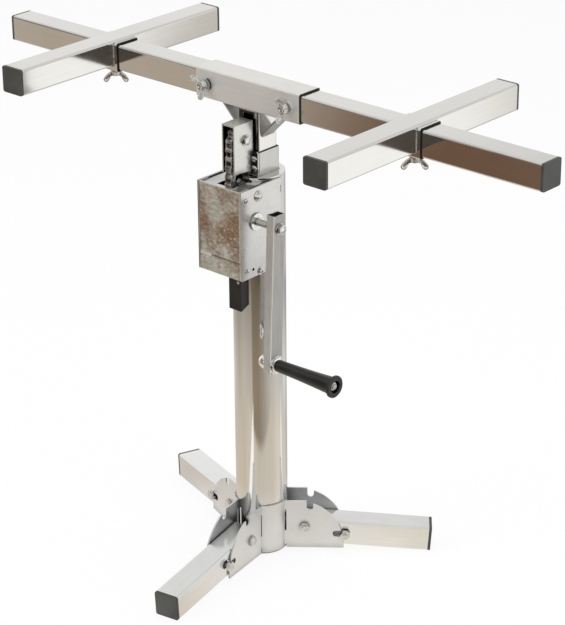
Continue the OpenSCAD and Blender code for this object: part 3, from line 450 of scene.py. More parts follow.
def make_materials():
    head_low, head_high = box_mm("head_tube")
    head_middle = Vector((0, 0, (head_low.z + head_high.z) / 2))
    guide_low, guide_high = box_mm("guide_tube")
    crank_low, crank_high = box_mm("crank_arm")
    crank_middle = (crank_low + crank_high) / 2
    made = {
        "beam": tube_steel("steel_beam", STEEL_LIGHT, STEEL_DARK, (0.06, 0.14)),
        "column": tube_steel("steel_column", STEEL_LIGHT, STEEL_DARK, (0.06, 0.12), ALONG_Z),
        "mast": tube_steel("steel_mast", STEEL_LIGHT, STEEL_DARK, (0.10, 0.20), ALONG_Z,
                           painted_shading=painted_mast_shade),
        "gusset": tube_steel("steel_gusset", (0.56, 0.55, 0.53), (0.40, 0.39, 0.38), (0.32, 0.42)),
        "head": tube_steel("brushed_head", BRUSHED_LIGHT, BRUSHED_DARK, (0.26, 0.38), ALONG_X, grain=0.25,
                           cut_and_inner_shade=("X", head_low.x, head_high.x, head_middle), metal=0.5),
        "guide": tube_steel("brushed_guide", (0.64, 0.64, 0.63), (0.50, 0.50, 0.49), (0.20, 0.32), ALONG_Z,
                            grain=0.25, cut_and_inner_shade=("Z", guide_low.z, guide_high.z, Vector((0, 0, guide_high.z)))),
        "crank": tube_steel("brushed_crank", (0.62, 0.61, 0.59), (0.34, 0.335, 0.32), (0.30, 0.42),
                            (90, 90, 1.2), grain=0.4, painted_shading=crank_shade_and_highlight, metal=0.6,
                            cut_and_inner_shade=("Z", crank_low.z, crank_high.z, crank_middle)),
        "galvanised": galvanised("zinc_sheet", (0.77, 0.785, 0.79), (0.69, 0.70, 0.705)),
        "side": galvanised("zinc_side", (0.74, 0.74, 0.73), (0.56, 0.56, 0.55), (0.20, 0.34),
                           left_edge_and_shade),
        "lid": galvanised("zinc_lid", (0.78, 0.78, 0.77), (0.60, 0.60, 0.59), (0.16, 0.30), painted_seam_shade),
        "housing": galvanised("zinc_housing", (0.76, 0.76, 0.74), (0.64, 0.64, 0.62), (0.24, 0.36),
                              painted_inner_shade),
        "cover": mottled_cover("stained_cover"),
        "zinc": bright_zinc("zinc_fastener"),
        "bright": bright_zinc("bright_handle_zinc", (0.96, 0.95, 0.93), (0.84, 0.83, 0.80), 0.35),
        "weld": weld_metal("weld_bead"),
        "chain": oiled_steel("oiled_chain", (0.78, 0.75, 0.72), (0.20, 0.19, 0.18)),
        "gear": oiled_steel("oiled_gear", (0.50, 0.49, 0.47), (0.20, 0.19, 0.18)),
        "lining": brake_lining("brake_lining"),
        "black": moulded_plastic("black_moulding", (0.016, 0.015, 0.014), (0.006, 0.006, 0.006),
                                 (0.30, 0.42)),
        "guard": moulded_plastic("black_guard", (0.010, 0.009, 0.008), (0.003, 0.003, 0.003), (0.26, 0.38)),
        "cap": moulded_plastic("grey_cap", (0.060, 0.060, 0.055), (0.036, 0.036, 0.033), (0.42, 0.55)),
    }
    for side in ("left", "right"):
        low, high = box_mm("cross_arm_" + side)
        made["arm_" + side] = tube_steel("steel_arm_" + side, STEEL_LIGHT, STEEL_DARK, (0.08, 0.16),
                                         turn=math.pi / 2, cut_and_inner_shade=("X", low.x, high.x))
    for k, turn in enumerate(LEG_TURNS):
        made[f"leg_{k + 1}"] = tube_steel(f"steel_leg_{k + 1}", (0.86, 0.865, 0.87), (0.76, 0.765, 0.77),
                                          turn=turn, slope=-LEG_SLOPE)
    return made


FINISH = {
    "beam": "beam_left beam_right",
    "arm_left": "cross_arm_left",
    "arm_right": "cross_arm_right",
    "column": "column_tube column_ring",
    "mast": "mast_tube",
    "gusset": "gusset_strips",
    "head": "head_tube",
    "guide": "guide_tube",
    "crank": "crank_arm",
    "galvanised": "bracket_1 bracket_2 bracket_3 winch_bottom",
    "side": "winch_sides",
    "lid": "winch_top",
    "housing": "idler_housing",
    "cover": "cover_upper cover_lower",
    "zinc": "pivot_bolts winch_screws shaft_bushes idler_bolts pawl_pin crank_shaft hub_bolt "
            "handle_spindle handle_nuts drive_shaft wing_bolt_1 wing_bolt_2 wing_bolt_3 wing_bolt_4 "
            "lock_bolt_1 lock_bolt_2 lock_bolt_3",
    "chain": "lift_chain",
    "gear": "ratchet_wheel idler_sprocket crank_gear brake_hub drive_sprocket drive_gear pawl chain_anchor",
    "lining": "friction_discs",
    "black": "foot_plug grip",
    "guard": "chain_guard",
    "cap": "beam_cap_left beam_cap_right arm_caps_left arm_caps_right leg_cap_1 leg_cap_2 leg_cap_3",
    "leg_1": "leg_tube_1",
    "leg_2": "leg_tube_2",
    "leg_3": "leg_tube_3",
}

# Width in millimetres of the small rounding on each node's edges
ROUNDING = {
    0.9: "beam_cap_left beam_cap_right arm_caps_left arm_caps_right leg_cap_1 leg_cap_2 leg_cap_3",
    1.0: "crank_arm",
    0.5: "bracket_1 bracket_2 bracket_3 winch_sides head_tube guide_tube cross_arm_left cross_arm_right "
         "idler_housing chain_guard gusset_strips",
    0.35: "beam_left beam_right leg_tube_1 leg_tube_2 leg_tube_3 mast_tube cover_upper cover_lower "
          "winch_top winch_bottom column_tube column_ring",
}


def round_edges(node, width):
    """Joins the CAD faces' split corners and bevels the sharp edges; large faces keep their own normals."""
    weld = node.modifiers.new("join", "WELD")
    weld.merge_threshold = 0.002 * MM
    planes = node.modifiers.new("planes", "DECIMATE")
    planes.decimate_type = "DISSOLVE"
    planes.angle_limit = math.radians(0.3)
    bevel = node.modifiers.new("edges", "BEVEL")
    bevel.width = width * MM
    bevel.segments = 2
    bevel.limit_method = "ANGLE"
    bevel.angle_limit = math.radians(35)
    bevel.use_clamp_overlap = True
    bevel.face_strength_mode = "FSTR_ALL"
    weights = node.modifiers.new("normals", "WEIGHTED_NORMAL")
    weights.mode = "FACE_AREA"
    weights.weight = 100
    weights.keep_sharp = False
    weights.use_face_influence = True


def dress_nodes(materials):
    for finish, names in FINISH.items():
        for name in names.split():
            slots = NODES[name].data.materials
            slots.clear()
            slots.append(materials[finish])
    for width, names in ROUNDING.items():
        for name in names.split():
            round_edges(NODES[name], width)


# Mesh parts, in millimetres: each returns its points and faces

def loft(loops):
    """Joins loops of equally many points by quads and closes both ends."""
    count = len(loops[0])
    points = [point for loop in loops for point in loop]
    faces = []
    for k in range(len(loops) - 1):
        for i in range(count):
            j = (i + 1) % count
            faces.append([k * count + i, k * count + j, (k + 1) * count + j, (k + 1) * count + i])
    last = (len(loops) - 1) * count
    faces.append(list(range(count))[::-1])
    faces.append([last + i for i in range(count)])
    return points, faces


def ring(radius, z, sides):
    turns = [math.tau * i / sides for i in range(sides)]
    return [(radius * math.cos(a), radius * math.sin(a), z) for a in turns]


def lathe(profile, sides=40):
    return loft([ring(radius, z, sides) for radius, z in profile])


def hexagon(radius, low, high, chamfer_low=True, chamfer_high=True, per_side=6):
    """A hexagonal head or nut along z whose corners are turned off at 30 degrees."""
    inside_flats = 0.95
    rim = radius * math.cos(math.pi / 6) * inside_flats
    corners = [Vector((radius * math.cos(math.tau * k / 6), radius * math.sin(math.tau * k / 6)))
               for k in range(7)]
    outline = [corners[k].lerp(corners[k + 1], i / per_side) for k in range(6) for i in range(per_side)]

    def side_edge(z, inward):
        drops = [max(0, p.length - rim) * math.tan(math.radians(30)) for p in outline]
        return [(p.x, p.y, z + inward * drop) for p, drop in zip(outline, drops)]

    def flat_edge(z):
        return [(p.x / p.length * rim, p.y / p.length * rim, z) for p in outline]

    loops = [flat_edge(low)] if chamfer_low else []
    loops += [side_edge(low, 1 if chamfer_low else 0), side_edge(high, -1 if chamfer_high else 0)]
    if chamfer_high:
        loops.append(flat_edge(high))
    return loft(loops)


def thread(radius, low, high, pitch=1.25, sides=28, per_pitch=6):
    """A threaded rod along z with a chamfer at its upper end."""
    depth = 0.55 * pitch
    steps = max(2, round((high - low) / pitch * per_pitch))
    loops = []
    for k in range(steps + 1):
        z = low + (high - low) * k / steps
        limit = radius - max(0, z - high + depth)
        loop = []
        for i in range(sides):
            phase = (z / pitch - i / sides) % 1
            r = min(radius - depth * abs(2 * phase - 1), limit)
            loop.append((r * math.cos(math.tau * i / sides), r * math.sin(math.tau * i / sides), z))
        loops.append(loop)
    return loft(loops)


def pan_head(radius, height):
    """A domed screw head on z = 0 with a cross recess."""
    sides = 32
    top = ring(radius * 0.66, height, sides)
    half_width, reach, floor = radius * 0.13, radius * 0.5, height * 0.35
    quarter = [(reach, -half_width), (reach, half_width), (half_width, half_width)]
    cross = []
    for k in range(4):
        turn = Matrix.Rotation(math.pi / 2 * k, 2)
        cross += [turn @ Vector(p) for p in quarter]
    rim = [(p.x, p.y, height) for p in cross]
    deep = [(p.x, p.y, floor) for p in cross]
    shell, faces = loft([ring(radius, 0, sides), ring(radius, height * 0.35, sides),
                         ring(radius * 0.9, height * 0.8, sides), top])
    faces.pop()
    first = len(shell) - sides
    start = len(shell)
    count = len(cross)
    lid = [first + i for i in range(sides)] + [start + i for i in range(count)]
    faces += [[lid[i] for i in face] for face in tessellate_polygon([[Vector(p) for p in top],
                                                                    [Vector(p) for p in rim]])]
    for i in range(count):
        j = (i + 1) % count
        faces.append([start + i, start + j, start + count + j, start + count + i])
    faces += [[start + count + i for i in face] for face in tessellate_polygon([[Vector(p) for p in deep]])]
    return shell + rim + deep, faces


def smooth_outline(points, steps=5):
    """A closed curve through the points."""
    curve = []
    count = len(points)
    for k in range(count):
        p0, p1, p2, p3 = (Vector(points[(k + d) % count]) for d in (-1, 0, 1, 2))
        for i in range(steps):
            t = i / steps
            curve.append(0.5 * ((2 * p1) + (p2 - p0) * t + (2 * p0 - 5 * p1 + 4 * p2 - p3) * t * t
                                + (3 * p1 - p0 - 3 * p2 + p3) * t ** 3))
    return curve


WING_OUTLINE = [(4, 0.8), (8.5, 2.6), (13.5, 6.5), (17.6, 11.5), (18.3, 15), (16, 18.1), (12.5, 17.9),
                (9.4, 14), (7.2, 9.5), (4, 7.4)]
WING_MIDDLE = Vector((13.1, 12.6))
# From the ear's middle to its rim: the share of the way out and half the thickness
WING_SECTION = [(0.03, 0.7), (0.40, 0.75), (0.56, 0.95), (0.68, 1.45), (0.80, 1.6), (0.94, 1.35), (1.0, 0.7)]


def wing(side):
    """One ear of a wing bolt, outwards along x and down along z, with a raised rim and dished faces."""
    outline = smooth_outline(WING_OUTLINE)
    section = WING_SECTION + [(share, -half) for share, half in WING_SECTION[::-1]]
    loops = []
    for share, half in section:
        loop = [WING_MIDDLE + (p - WING_MIDDLE) * share for p in outline]
        loops.append([(side * p.x, half, -p.y) for p in loop])
    return loft(loops)


def bead(path, radius, ripple=1.6):
    """A weld bead along a path: a rod that swells at each ripple and tapers at its ends."""
    step, sides = 0.4, 10
    stations = []
    for a, b in zip(path, path[1:]):
        count = max(1, round((b - a).length / step))
        stations += [a.lerp(b, i / count) for i in range(count)]
    stations.append(path[-1])
    closed = (path[0] - path[-1]).length < 0.01
    turns = [math.tau * i / sides for i in range(sides)]
    loops = []
    wander = random.uniform(0, 6)
    for k, place in enumerate(stations):
        ahead, behind = stations[min(k + 1, len(stations) - 1)], stations[max(k - 1, 0)]
        along = (ahead - behind).normalized()
        across = along.cross(Vector((0.31, 0.17, 0.93))).normalized()
        lift = along.cross(across)
        travel = step * k
        swell = 0.84 + 0.16 * abs(math.sin(math.pi * travel / ripple)) + 0.07 * math.sin(travel / 5 + wander)
        size = radius * swell
        if not closed:
            size *= min(1, 0.35 + 0.5 * min(k, len(stations) - 1 - k) * step)
        loops.append([place + size * (math.cos(a) * across + math.sin(a) * lift) for a in turns])
    return loft(loops)


class Piece:
    """Collects mesh parts and makes one object that rides on a body."""

    def __init__(self):
        self.mesh = bmesh.new()

    def add(self, part, at=None):
        points, faces = part
        at = at or Matrix()
        made = [self.mesh.verts.new((at @ Vector(p)) * MM) for p in points]
        for face in faces:
            if len(set(face)) > 2:
                self.mesh.faces.new([made[i] for i in face])
        return self

    def make(self, name, body, material, slot, *replaced, sharp=32):
        bmesh.ops.recalc_face_normals(self.mesh, faces=self.mesh.faces)
        mesh = bpy.data.meshes.new(name)
        self.mesh.to_mesh(mesh)
        self.mesh.free()
        mesh.polygons.foreach_set("use_smooth", [True] * len(mesh.polygons))
        mesh.set_sharp_from_angle(angle=math.radians(sharp))
        mesh.materials.append(material)
        made = bpy.data.objects.new(name, mesh)
        bpy.context.scene.collection.objects.link(made)
        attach(made, body)
        if replaced:
            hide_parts(*replaced)
        return made


# Frames: the given axis of the world becomes the part's own z

TO_PLUS_X = Matrix.Rotation(math.pi / 2, 4, "Y")
TO_MINUS_X = Matrix.Rotation(-math.pi / 2, 4, "Y")
TO_PLUS_Y = Matrix.Rotation(-math.pi / 2, 4, "X")
TO_MINUS_Y = Matrix.Rotation(math.pi / 2, 4, "X")

# Fasteners: lengths in millimetres, angles in degrees
SHANK_R = 4
HANDLE_HEAD_R = 11.2
CRANK_TILT = -2.6
CHEEK_OUT = 21.9
LOCK_PLACE = (60.81, 0, -8.5)
WING_TURNS = {1: 60, 2: 90, 3: 40, 4: 40}
STOP_BOLT_Y = -42.6
HOUSING_HALF = 11.5
HOUSING_FLANGE_Y = -23.5


def washer(radius, low, thick, step_in=0.3, step_up=0.3):
    """A washer's filled disc whose two edges are broken."""
    high = low + thick
    return lathe([(radius - step_in, low), (radius, low + step_up), (radius, high - step_up),
                  (radius - step_in, high)])


def leg_frame(k):
    """The frame of a leg: its origin is the pivot and x runs out along the leg."""
    return (Matrix.Translation(joint_mm(f"leg_{k + 1}_fold")) @ Matrix.Rotation(LEG_TURNS[k], 4, "Z")
            @ Matrix.Rotation(LEG_SLOPE, 4, "Y"))


def bolt_and_nut(piece, at, seat, end, head=5.3, nut=6.5, hex_r=7.5):
    """A bolt across the leg frame's y: head on the +y side, nut and thread on the other."""
    piece.add(hexagon(hex_r, seat, seat + head, chamfer_low=False), at @ TO_PLUS_Y)
    piece.add(lathe([(hex_r * 0.85, seat - 0.05), (hex_r * 0.85, seat + 0.4)]), at @ TO_PLUS_Y)
    piece.add(lathe([(SHANK_R, -seat), (SHANK_R, seat)], 24), at @ TO_PLUS_Y)
    piece.add(hexagon(hex_r, seat, seat + nut), at @ TO_MINUS_Y)
    piece.add(thread(SHANK_R, seat + 1, seat + nut + end), at @ TO_MINUS_Y)


def make_leg_bolts(zinc):
    side_gap = 0.3
    pivots = Piece()
    for k in range(3):
        bolt_and_nut(pivots, leg_frame(k), CHEEK_OUT, 3)
        lock = Piece()
        bolt_and_nut(lock, leg_frame(k) @ Matrix.Translation(LOCK_PLACE), CHEEK_OUT + side_gap, 2)
        lock.make(f"lock_bolt_set_{k + 1}", f"lock_{k + 1}", zinc, "bright_zinc", f"lock_bolt_{k + 1}")
    pivots.make("pivot_bolt_set", "column", zinc, "bright_zinc", "pivot_bolts")


def wing_bolt_parts(piece, at):
    """A wing bolt along z with its tip at the frame's origin."""
    hub_top, hub_h = -9, 8
    low = hub_top - hub_h
    piece.add(thread(SHANK_R, hub_top - 1, -0.2), at)
    piece.add(lathe([(0.4, low + 1.3), (2.6, low + 1.1), (4.0, low + 0.2), (4.9, low), (5.9, low + 0.5),
                     (6.3, low + 1.6), (7.0, hub_top - 2.2), (7.4, hub_top - 1.2), (7.4, hub_top - 0.5),
                     (6.9, hub_top)]), at)
    for side in (-1, 1):
        piece.add(wing(side), at @ Matrix.Translation((0, 0, hub_top)))


def make_wing_bolts(zinc):
    beam_low = box_mm("beam_left")[0]
    for k, turn in WING_TURNS.items():
        axis = joint_mm(f"wing_{k}_turn")
        if k < 3:
            at = Matrix.Translation((axis.x, beam_low.y, axis.z)) @ TO_PLUS_Y
        else:
            at = Matrix.Translation((axis.x, axis.y, beam_low.z))
        piece = Piece()
        wing_bolt_parts(piece, at @ Matrix.Rotation(math.radians(turn), 4, "Z"))
        piece.make(f"wing_{k}_casting", f"wing_{k}", zinc, "bright_zinc", f"wing_bolt_{k}", sharp=40)


def make_crank_fasteners(zinc, bright):
    """The hub's bolt and washer, and the handle's domed head, washers and nuts."""
    tilt = Matrix.Rotation(math.radians(CRANK_TILT), 4, "X")
    hub = Matrix.Translation(joint_mm("crank_turn")) @ tilt @ TO_PLUS_X
    handle = Matrix.Translation(joint_mm("grip_turn")) @ tilt @ TO_PLUS_X
    arm_face = box_mm("hub_bolt")[0].x
    grip_end = box_mm("grip")[1].x
    piece = Piece()
    piece.add(washer(8.5, arm_face, 1.6), hub)
    piece.add(hexagon(7.5, arm_face + 1.6, arm_face + 6.9, chamfer_low=False), hub)
    piece.make("hub_bolt_set", "crank", zinc, "bright_zinc", "hub_bolt")
    piece = Piece()
    piece.add(washer(13.9, arm_face, 1.7), handle)
    piece.add(lathe([(9.0, arm_face + 1.7), (11.6, arm_face + 2.1), (11.6, arm_face + 3.4),
                     (9.0, arm_face + 4.6)]), handle)
    piece.make("handle_washer_set", "crank", bright, "bright_zinc", "handle_nuts")
    piece = Piece()
    piece.add(hexagon(6.6, grip_end - 7.5, grip_end - 2.5), handle)
    piece.make("handle_nut_set", "crank", zinc, "bright_zinc", "handle_nuts")
    piece = Piece()
    arm_back = box_mm("crank_arm")[0].x
    dome_base = arm_back - 4.5
    turns = [math.radians(a) for a in range(6, 91, 7)]
    dome = [(HANDLE_HEAD_R * math.sin(a), dome_base - HANDLE_HEAD_R * math.cos(a)) for a in turns]
    piece.add(lathe(dome + [(HANDLE_HEAD_R, arm_back - 0.8), (HANDLE_HEAD_R - 0.4, arm_back)]), handle)
    piece.make("handle_head", "crank", bright, "bright_zinc")
    piece = Piece()
    piece.add(thread(SHANK_R + 0.02, grip_end - 3, grip_end - 1.4), handle)
    piece.make("spindle_thread", "crank", zinc, "bright_zinc")


def make_winch_screws(zinc):
    """Cross-recess screws in the winch's sides and the guard, and the stop bolt at the rear."""
    low, high = box_mm("winch_sides")
    guard_low, guard_high = box_mm("chain_guard")
    piece = Piece()
    for x, facing in ((high.x, TO_PLUS_X), (low.x, TO_MINUS_X)):
        for z in (low.z + 12, high.z - 14):
            piece.add(pan_head(3.4, 1.6), Matrix.Translation((x, low.y + 10, z)) @ facing)
    stop = Matrix.Translation((high.x, STOP_BOLT_Y, low.z + 5)) @ TO_PLUS_X
    piece.add(washer(5.5, 0, 1, step_up=0.2), stop)
    piece.add(lathe([(3.6, 0.9), (3.6, 2.4), (3.0, 3.1), (1.7, 3.2), (1.4, 2.2), (0.3, 2.1)]), stop)
    guard_screw = Matrix.Translation((guard_high.x - 5, guard_low.y, low.z - 20)) @ TO_MINUS_Y
    piece.add(pan_head(2.4, 1.5), guard_screw)
    piece.make("winch_screw_set", "column", zinc, "bright_zinc", "winch_screws")


def make_idler_bolts(zinc):
    axle = Matrix.Translation(joint_mm("idler_turn"))
    half = HOUSING_HALF
    piece = Piece()
    piece.add(lathe([(SHANK_R, -half - 1), (SHANK_R, half)], 24), axle @ TO_PLUS_X)
    piece.add(washer(7.6, half, 1.1, 0.2, 0.2), axle @ TO_PLUS_X)
    piece.add(hexagon(6.6, half + 1.1, half + 5.3, chamfer_low=False), axle @ TO_PLUS_X)
    piece.add(hexagon(7, half, half + 6), axle @ TO_MINUS_X)
    piece.add(thread(SHANK_R, half + 1, half + 8), axle @ TO_MINUS_X)
    guide_top = box_mm("guide_tube")[1].z
    for x in (-16, 16):
        for z in (guide_top - 8.4, guide_top - 22):
            at = Matrix.Translation((x, HOUSING_FLANGE_Y, z)) @ TO_MINUS_Y
            piece.add(hexagon(4.6, 0, 3.5, chamfer_low=False), at)
    piece.make("idler_bolt_set", "column", zinc, "bright_zinc", "idler_bolts")


# Weld beads

def rounded_square(half, corner, z):
    """A closed path round a square tube."""
    path = []
    for k in range(4):
        middle = Matrix.Rotation(math.pi / 2 * k, 3, "Z") @ Vector((half - corner, half - corner, 0))
        for i in range(5):
            a = math.pi / 2 * (k + i / 4)
            path.append(Vector((middle.x + corner * math.cos(a), middle.y + corner * math.sin(a), z)))
    return path + [path[0]]


def make_welds(weld):
    mast_half, sleeve_half, corner = 19, 21.5, 3.2
    head_low, head_high = box_mm("head_tube")
    gusset_low, gusset_high = box_mm("gusset_strips")
    piece = Piece()
    piece.add(bead(rounded_square(mast_half, corner, head_low.z), 1.7))
    for side in (-1, 1):
        for x, z in ((side * mast_half, gusset_low.z), (side * gusset_high.x, head_low.z)):
            piece.add(bead([Vector((x, gusset_low.y + 1, z)), Vector((x, gusset_high.y - 1, z))], 1.5))
    piece.make("mast_welds", "mast", weld, "polished_steel", sharp=60)
    for side, body in (("left", "arm_l"), ("right", "arm_r")):
        low, high = box_mm("cross_arm_" + side)
        middle = (low.x + high.x) / 2
        weld_top, arm_bottom = head_high.z - 2, high.z - 2 * mast_half
        path = [(middle - mast_half, weld_top), (middle - mast_half, arm_bottom + 1),
                (middle - mast_half + 2, arm_bottom), (middle + mast_half - 2, arm_bottom),
                (middle + mast_half, arm_bottom + 1), (middle + mast_half, weld_top)]
        piece = Piece()
        for face in (-1, 1):
            piece.add(bead([Vector((x, face * sleeve_half, z)) for x, z in path], 1.2))
        piece.make(f"arm_welds_{side}", body, weld, "polished_steel", sharp=60)
    ring_high = box_mm("column_ring")[1]
    piece = Piece()
    piece.add(bead(rounded_square(sleeve_half, corner, ring_high.z), 1.3))
    bracket_top, wrap_r = box_mm("bracket_1")[1].z, ring_high.x + 0.4
    for turn in LEG_TURNS:
        arc = [turn + math.radians(60 + a) for a in range(-16, 17, 4)]
        path = [Vector((wrap_r * math.cos(a), wrap_r * math.sin(a), bracket_top)) for a in arc]
        piece.add(bead(path, 1.3))
    piece.make("column_welds", "column", weld, "polished_steel", sharp=60)


# Studio: white surroundings, soft lamps, and tinted floor, sky and wall cards that only reflections see

WORLD_FILL = 0.55
FLOOR_GLOW = 0.9
CARD_POWER = 1.25
# Name, place in metres, side length and power of each lamp
LAMPS = [("key", (-1.6, -2.6, 2.6), 2.2, 55), ("fill", (2.8, -0.6, 1.8), 2.0, 22),
         ("top", (0.2, 0.6, 3.0), 2.6, 40)]


def camera_sees(tree):
    """1 for rays from the camera and for mirror and glass rays, 0 for the light that falls on things."""
    path = tree.nodes.new("ShaderNodeLightPath")
    either = tree.nodes.new("ShaderNodeMath")
    either.operation = "MAXIMUM"
    again = tree.nodes.new("ShaderNodeMath")
    again.operation = "MAXIMUM"
    tree.links.new(path.outputs["Is Camera Ray"], either.inputs[0])
    tree.links.new(path.outputs["Is Glossy Ray"], either.inputs[1])
    tree.links.new(either.outputs[0], again.inputs[0])
    tree.links.new(path.outputs["Is Transmission Ray"], again.inputs[1])
    return again.outputs[0]


def make_world():
    world = bpy.data.worlds.new("studio")
    world.use_nodes = True
    tree = world.node_tree
    shown = tree.nodes["Background"]
    shown.inputs["Color"].default_value = (1, 1, 1, 1)
    shown.inputs["Strength"].default_value = 1.0
    fill = tree.nodes.new("ShaderNodeBackground")
    fill.inputs["Color"].default_value = (1, 1, 1, 1)
    fill.inputs["Strength"].default_value = WORLD_FILL
    mix = tree.nodes.new("ShaderNodeMixShader")
    tree.links.new(camera_sees(tree), mix.inputs[0])
    tree.links.new(fill.outputs[0], mix.inputs[1])
    tree.links.new(shown.outputs[0], mix.inputs[2])
    tree.links.new(mix.outputs[0], tree.nodes["World Output"].inputs["Surface"])
    bpy.context.scene.world = world


def stage_mesh(name, points, faces, material):
    mesh = bpy.data.meshes.new(name)
    mesh.from_pydata(points, [], faces)
    mesh.materials.append(material)
    made = bpy.data.objects.new(name, mesh)
    bpy.context.scene.collection.objects.link(made)
    return made


def square(reach, height):
    """The corners of a level square, in metres."""
    return [(-reach, -reach, height), (reach, -reach, height), (reach, reach, height),
            (-reach, reach, height)]


def make_floor():
    s = Shader("floor", (0.86, 0.86, 0.86), roughness=0.9)
    glow = s.node("ShaderNodeEmission")
    glow.inputs["Color"].default_value = (1, 1, 1, 1)
    glow.inputs["Strength"].default_value = 1.0
    mix = s.node("ShaderNodeMixShader")
    s.link(s.math("MULTIPLY", camera_sees(s.tree), FLOOR_GLOW), mix.inputs[0])
    s.link(s.shader.outputs[0], mix.inputs[1])
    s.link(glow.outputs[0], mix.inputs[2])
    s.link(mix.outputs[0], s.tree.nodes["Material Output"].inputs["Surface"])
    stage_mesh("floor", square(30, 0), [(0, 1, 2, 3)], s.material)


def compass(stops):
    """Ramp stops given by compass angle in degrees, from -180 to 180, with 0 along X."""
    return [((angle + 180) / 360, tuple(part / CARD_POWER for part in color)) for angle, color in stops]


# The floor card's tones by compass angle: close to the stand, round it, and far out
INNER_TONES = compass([(-180, (0.72, 0.64, 0.55)), (-152, (0.76, 0.67, 0.55)), (-122, (0.74, 0.65, 0.53)),
                       (-90, (0.85, 0.76, 0.65)), (-62, (0.72, 0.65, 0.57)), (-32, (0.74, 0.68, 0.59)),
                       (-2, (0.75, 0.68, 0.57)), (28, (0.88, 0.82, 0.71)), (43, (0.85, 0.79, 0.70)),
                       (45, (1.2, 1.18, 1.12)), (49, (1.2, 1.18, 1.12)), (51, (0.84, 0.78, 0.69)),
                       (78, (0.78, 0.71, 0.64)), (100, (0.52, 0.50, 0.48)), (125, (0.62, 0.61, 0.60)),
                       (180, (0.72, 0.64, 0.55))])
NEAR_TONES = compass([(-180, (0.72, 0.66, 0.57)), (-152, (0.58, 0.53, 0.44)), (-122, (0.67, 0.62, 0.54)),
                      (-92, (0.61, 0.56, 0.47)), (-84, (0.66, 0.60, 0.50)), (-81, (0.36, 0.29, 0.21)),
                      (-58, (0.34, 0.27, 0.19)), (-34, (0.44, 0.40, 0.33)), (-6, (0.64, 0.60, 0.53)),
                      (28, (0.74, 0.72, 0.68)), (54, (0.66, 0.66, 0.64)), (78, (0.92, 0.91, 0.88)),
                      (100, (0.58, 0.57, 0.55)), (125, (0.80, 0.79, 0.78)), (180, (0.72, 0.66, 0.57))])
FAR_TONES = compass([(-180, (0.75, 0.72, 0.68)), (-150, (0.54, 0.47, 0.39)), (-132, (0.52, 0.44, 0.355)),
                     (-128.5, (0.40, 0.33, 0.255)), (-125.5, (0.24, 0.17, 0.12)), (-119, (0.18, 0.10, 0.06)),
                     (-100, (0.22, 0.15, 0.11)), (-70, (0.16, 0.12, 0.09)), (-48, (0.07, 0.06, 0.05)),
                     (-25, (0.35, 0.31, 0.27)), (-5, (0.80, 0.77, 0.73)), (30, (1.2, 1.19, 1.16)),
                     (48, (1.2, 1.19, 1.16)), (50, (1.08, 1.06, 1.02)), (51.5, (0.86, 0.84, 0.80)),
                     (53, (0.72, 0.70, 0.65)), (55, (0.60, 0.56, 0.51)), (60, (0.64, 0.61, 0.58)),
                     (75, (0.9, 0.89, 0.87)), (105, (0.50, 0.48, 0.46)),
                     (135, (0.85, 0.83, 0.80))])


def glowing(s, tone, power):
    glow = s.node("ShaderNodeEmission")
    glow.inputs["Strength"].default_value = power
    s.put(tone, glow.inputs["Color"])
    s.link(glow.outputs[0], s.tree.nodes["Material Output"].inputs["Surface"])


def only_in_reflections(card):
    for ray in ("camera", "diffuse", "transmission", "volume_scatter", "shadow"):
        setattr(card, "visible_" + ray, False)


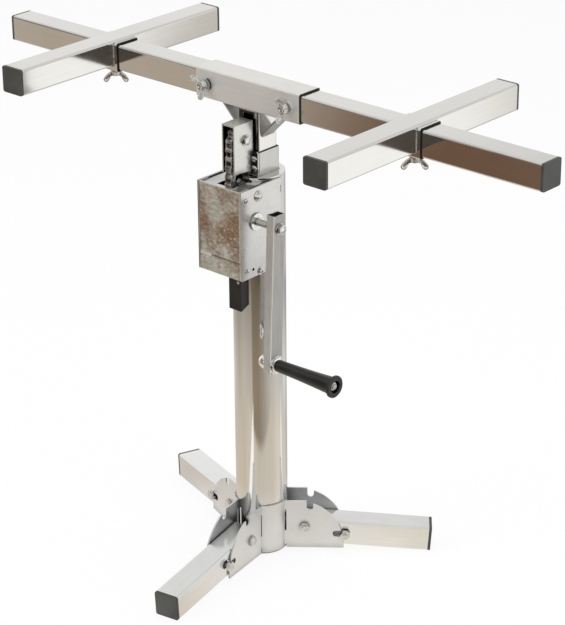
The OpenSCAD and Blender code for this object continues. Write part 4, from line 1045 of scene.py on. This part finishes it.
def make_floor_card():
    """A tinted card on the floor round the stand: pale near it, a dark tongue in front, brown far out."""
    s = Shader("floor_card")
    tongue_turn, tongue_spread, tongue_half, tongue_curve = 50, 30, 1.6, 0.065
    streak_turn, streak_base, streak_taper = -80, 38, 70
    where = s.node("ShaderNodeTexCoord").outputs["Object"]
    split = s.node("ShaderNodeSeparateXYZ")
    s.link(where, split.inputs[0])
    angle = s.math("MULTIPLY", s.math("ARCTAN2", split.outputs["Y"], split.outputs["X"]), 180 / math.pi)
    turn = s.math("ADD", s.math("DIVIDE", angle, 360), 0.5)
    distance = s.node("ShaderNodeVectorMath", operation="LENGTH")
    s.link(where, distance.inputs[0])
    reach = distance.outputs["Value"]
    off = s.math("DIVIDE", s.math("ADD", angle, tongue_turn), tongue_spread)
    rounded = s.math("SUBTRACT", reach, s.math("MULTIPLY", s.math("MULTIPLY", off, off), tongue_curve))
    in_front = s.math("LESS_THAN", s.math("ABSOLUTE", off), tongue_half)
    tip = s.span(rounded, 0, 1, 0.35, 0.40)
    others = s.span(reach, 0, 1, 0.42, 0.60)
    past_inner = s.mix(in_front, others, tip)
    near = s.mix(s.span(reach, 0.0, 0.42, 0.62, 1.0), s.ramp(turn, NEAR_TONES), (0, 0, 0, 1))
    inner = s.mix(s.span(reach, 0.6, 0.0, 0.14, 0.24), s.ramp(turn, INNER_TONES), (0.76, 0.73, 0.69, 1))
    streak_left = s.math("SUBTRACT", streak_turn, angle)
    streak_width = s.math("SUBTRACT", streak_base, s.math("MULTIPLY", reach, streak_taper))
    in_streak = s.math("MULTIPLY", s.math("GREATER_THAN", streak_left, 0),
                       s.math("GREATER_THAN", streak_width, streak_left))
    ground = s.mix(in_streak, s.mix(past_inner, inner, near), (1, 0.98, 0.94, 1))
    glowing(s, s.mix(s.span(reach, 0, 1, 0.98, 1.10), ground, s.ramp(turn, FAR_TONES)), CARD_POWER)
    inner_r, outer_r, height, sides = 0.03, 3.2, 0.003, 64
    points = ring(inner_r, height, sides) + ring(outer_r, height, sides)
    faces = [(i, (i + 1) % sides, sides + (i + 1) % sides, sides + i) for i in range(sides)]
    only_in_reflections(stage_mesh("floor_card", points, faces, s.material))


def make_sky_card():
    """A pale ceiling that tones down the upper faces, a little darker to the right."""
    s = Shader("sky_card")
    split = s.node("ShaderNodeSeparateXYZ")
    s.link(s.node("ShaderNodeTexCoord").outputs["Object"], split.inputs[0])
    shade = s.span(split.outputs["X"], 0.94, 0.80, -4.2, -3.3)
    glowing(s, s.mix(shade, (0, 0, 0, 1), (1.0, 0.995, 0.975, 1)), 1.0)
    only_in_reflections(stage_mesh("sky_card", square(25, 3.2), [(0, 1, 2, 3)], s.material))


def make_wall_card():
    """A dark screen at the front left: the thin dark lines along the tubes' upper edges."""
    s = Shader("wall_card")
    glowing(s, (0.26, 0.24, 0.21, 1), 1.0)
    radius, low, high, steps, first_turn, spread = 3.3, 0.01, 2.5, 12, -155, 50
    turns = [math.radians(first_turn + spread * i / steps) for i in range(steps + 1)]
    points = [(radius * math.cos(a), radius * math.sin(a), z) for z in (low, high) for a in turns]
    faces = [(i, i + 1, steps + 2 + i, steps + 1 + i) for i in range(steps)]
    only_in_reflections(stage_mesh("wall_card", points, faces, s.material))


def make_lamps():
    aimed_at = Vector((0, 0, 0.4))
    for name, place, size, power in LAMPS:
        data = bpy.data.lights.new(name, "AREA")
        data.shape = "SQUARE"
        data.size = size
        data.energy = power
        lamp = bpy.data.objects.new(name, data)
        bpy.context.scene.collection.objects.link(lamp)
        lamp.visible_glossy = False
        lamp.location = place
        aim = aimed_at - Vector(place)
        lamp.rotation_mode = "QUATERNION"
        lamp.rotation_quaternion = aim.to_track_quat("-Z", "Y")


make_camera()
make_world()
make_floor()
make_floor_card()
make_sky_card()
make_wall_card()
make_lamps()
materials = make_materials()
dress_nodes(materials)
make_leg_bolts(materials["zinc"])
make_wing_bolts(materials["zinc"])
make_crank_fasteners(materials["zinc"], materials["bright"])
make_winch_screws(materials["zinc"])
make_idler_bolts(materials["zinc"])
make_welds(materials["weld"])

bpy.context.scene.view_settings.view_transform = "Standard"
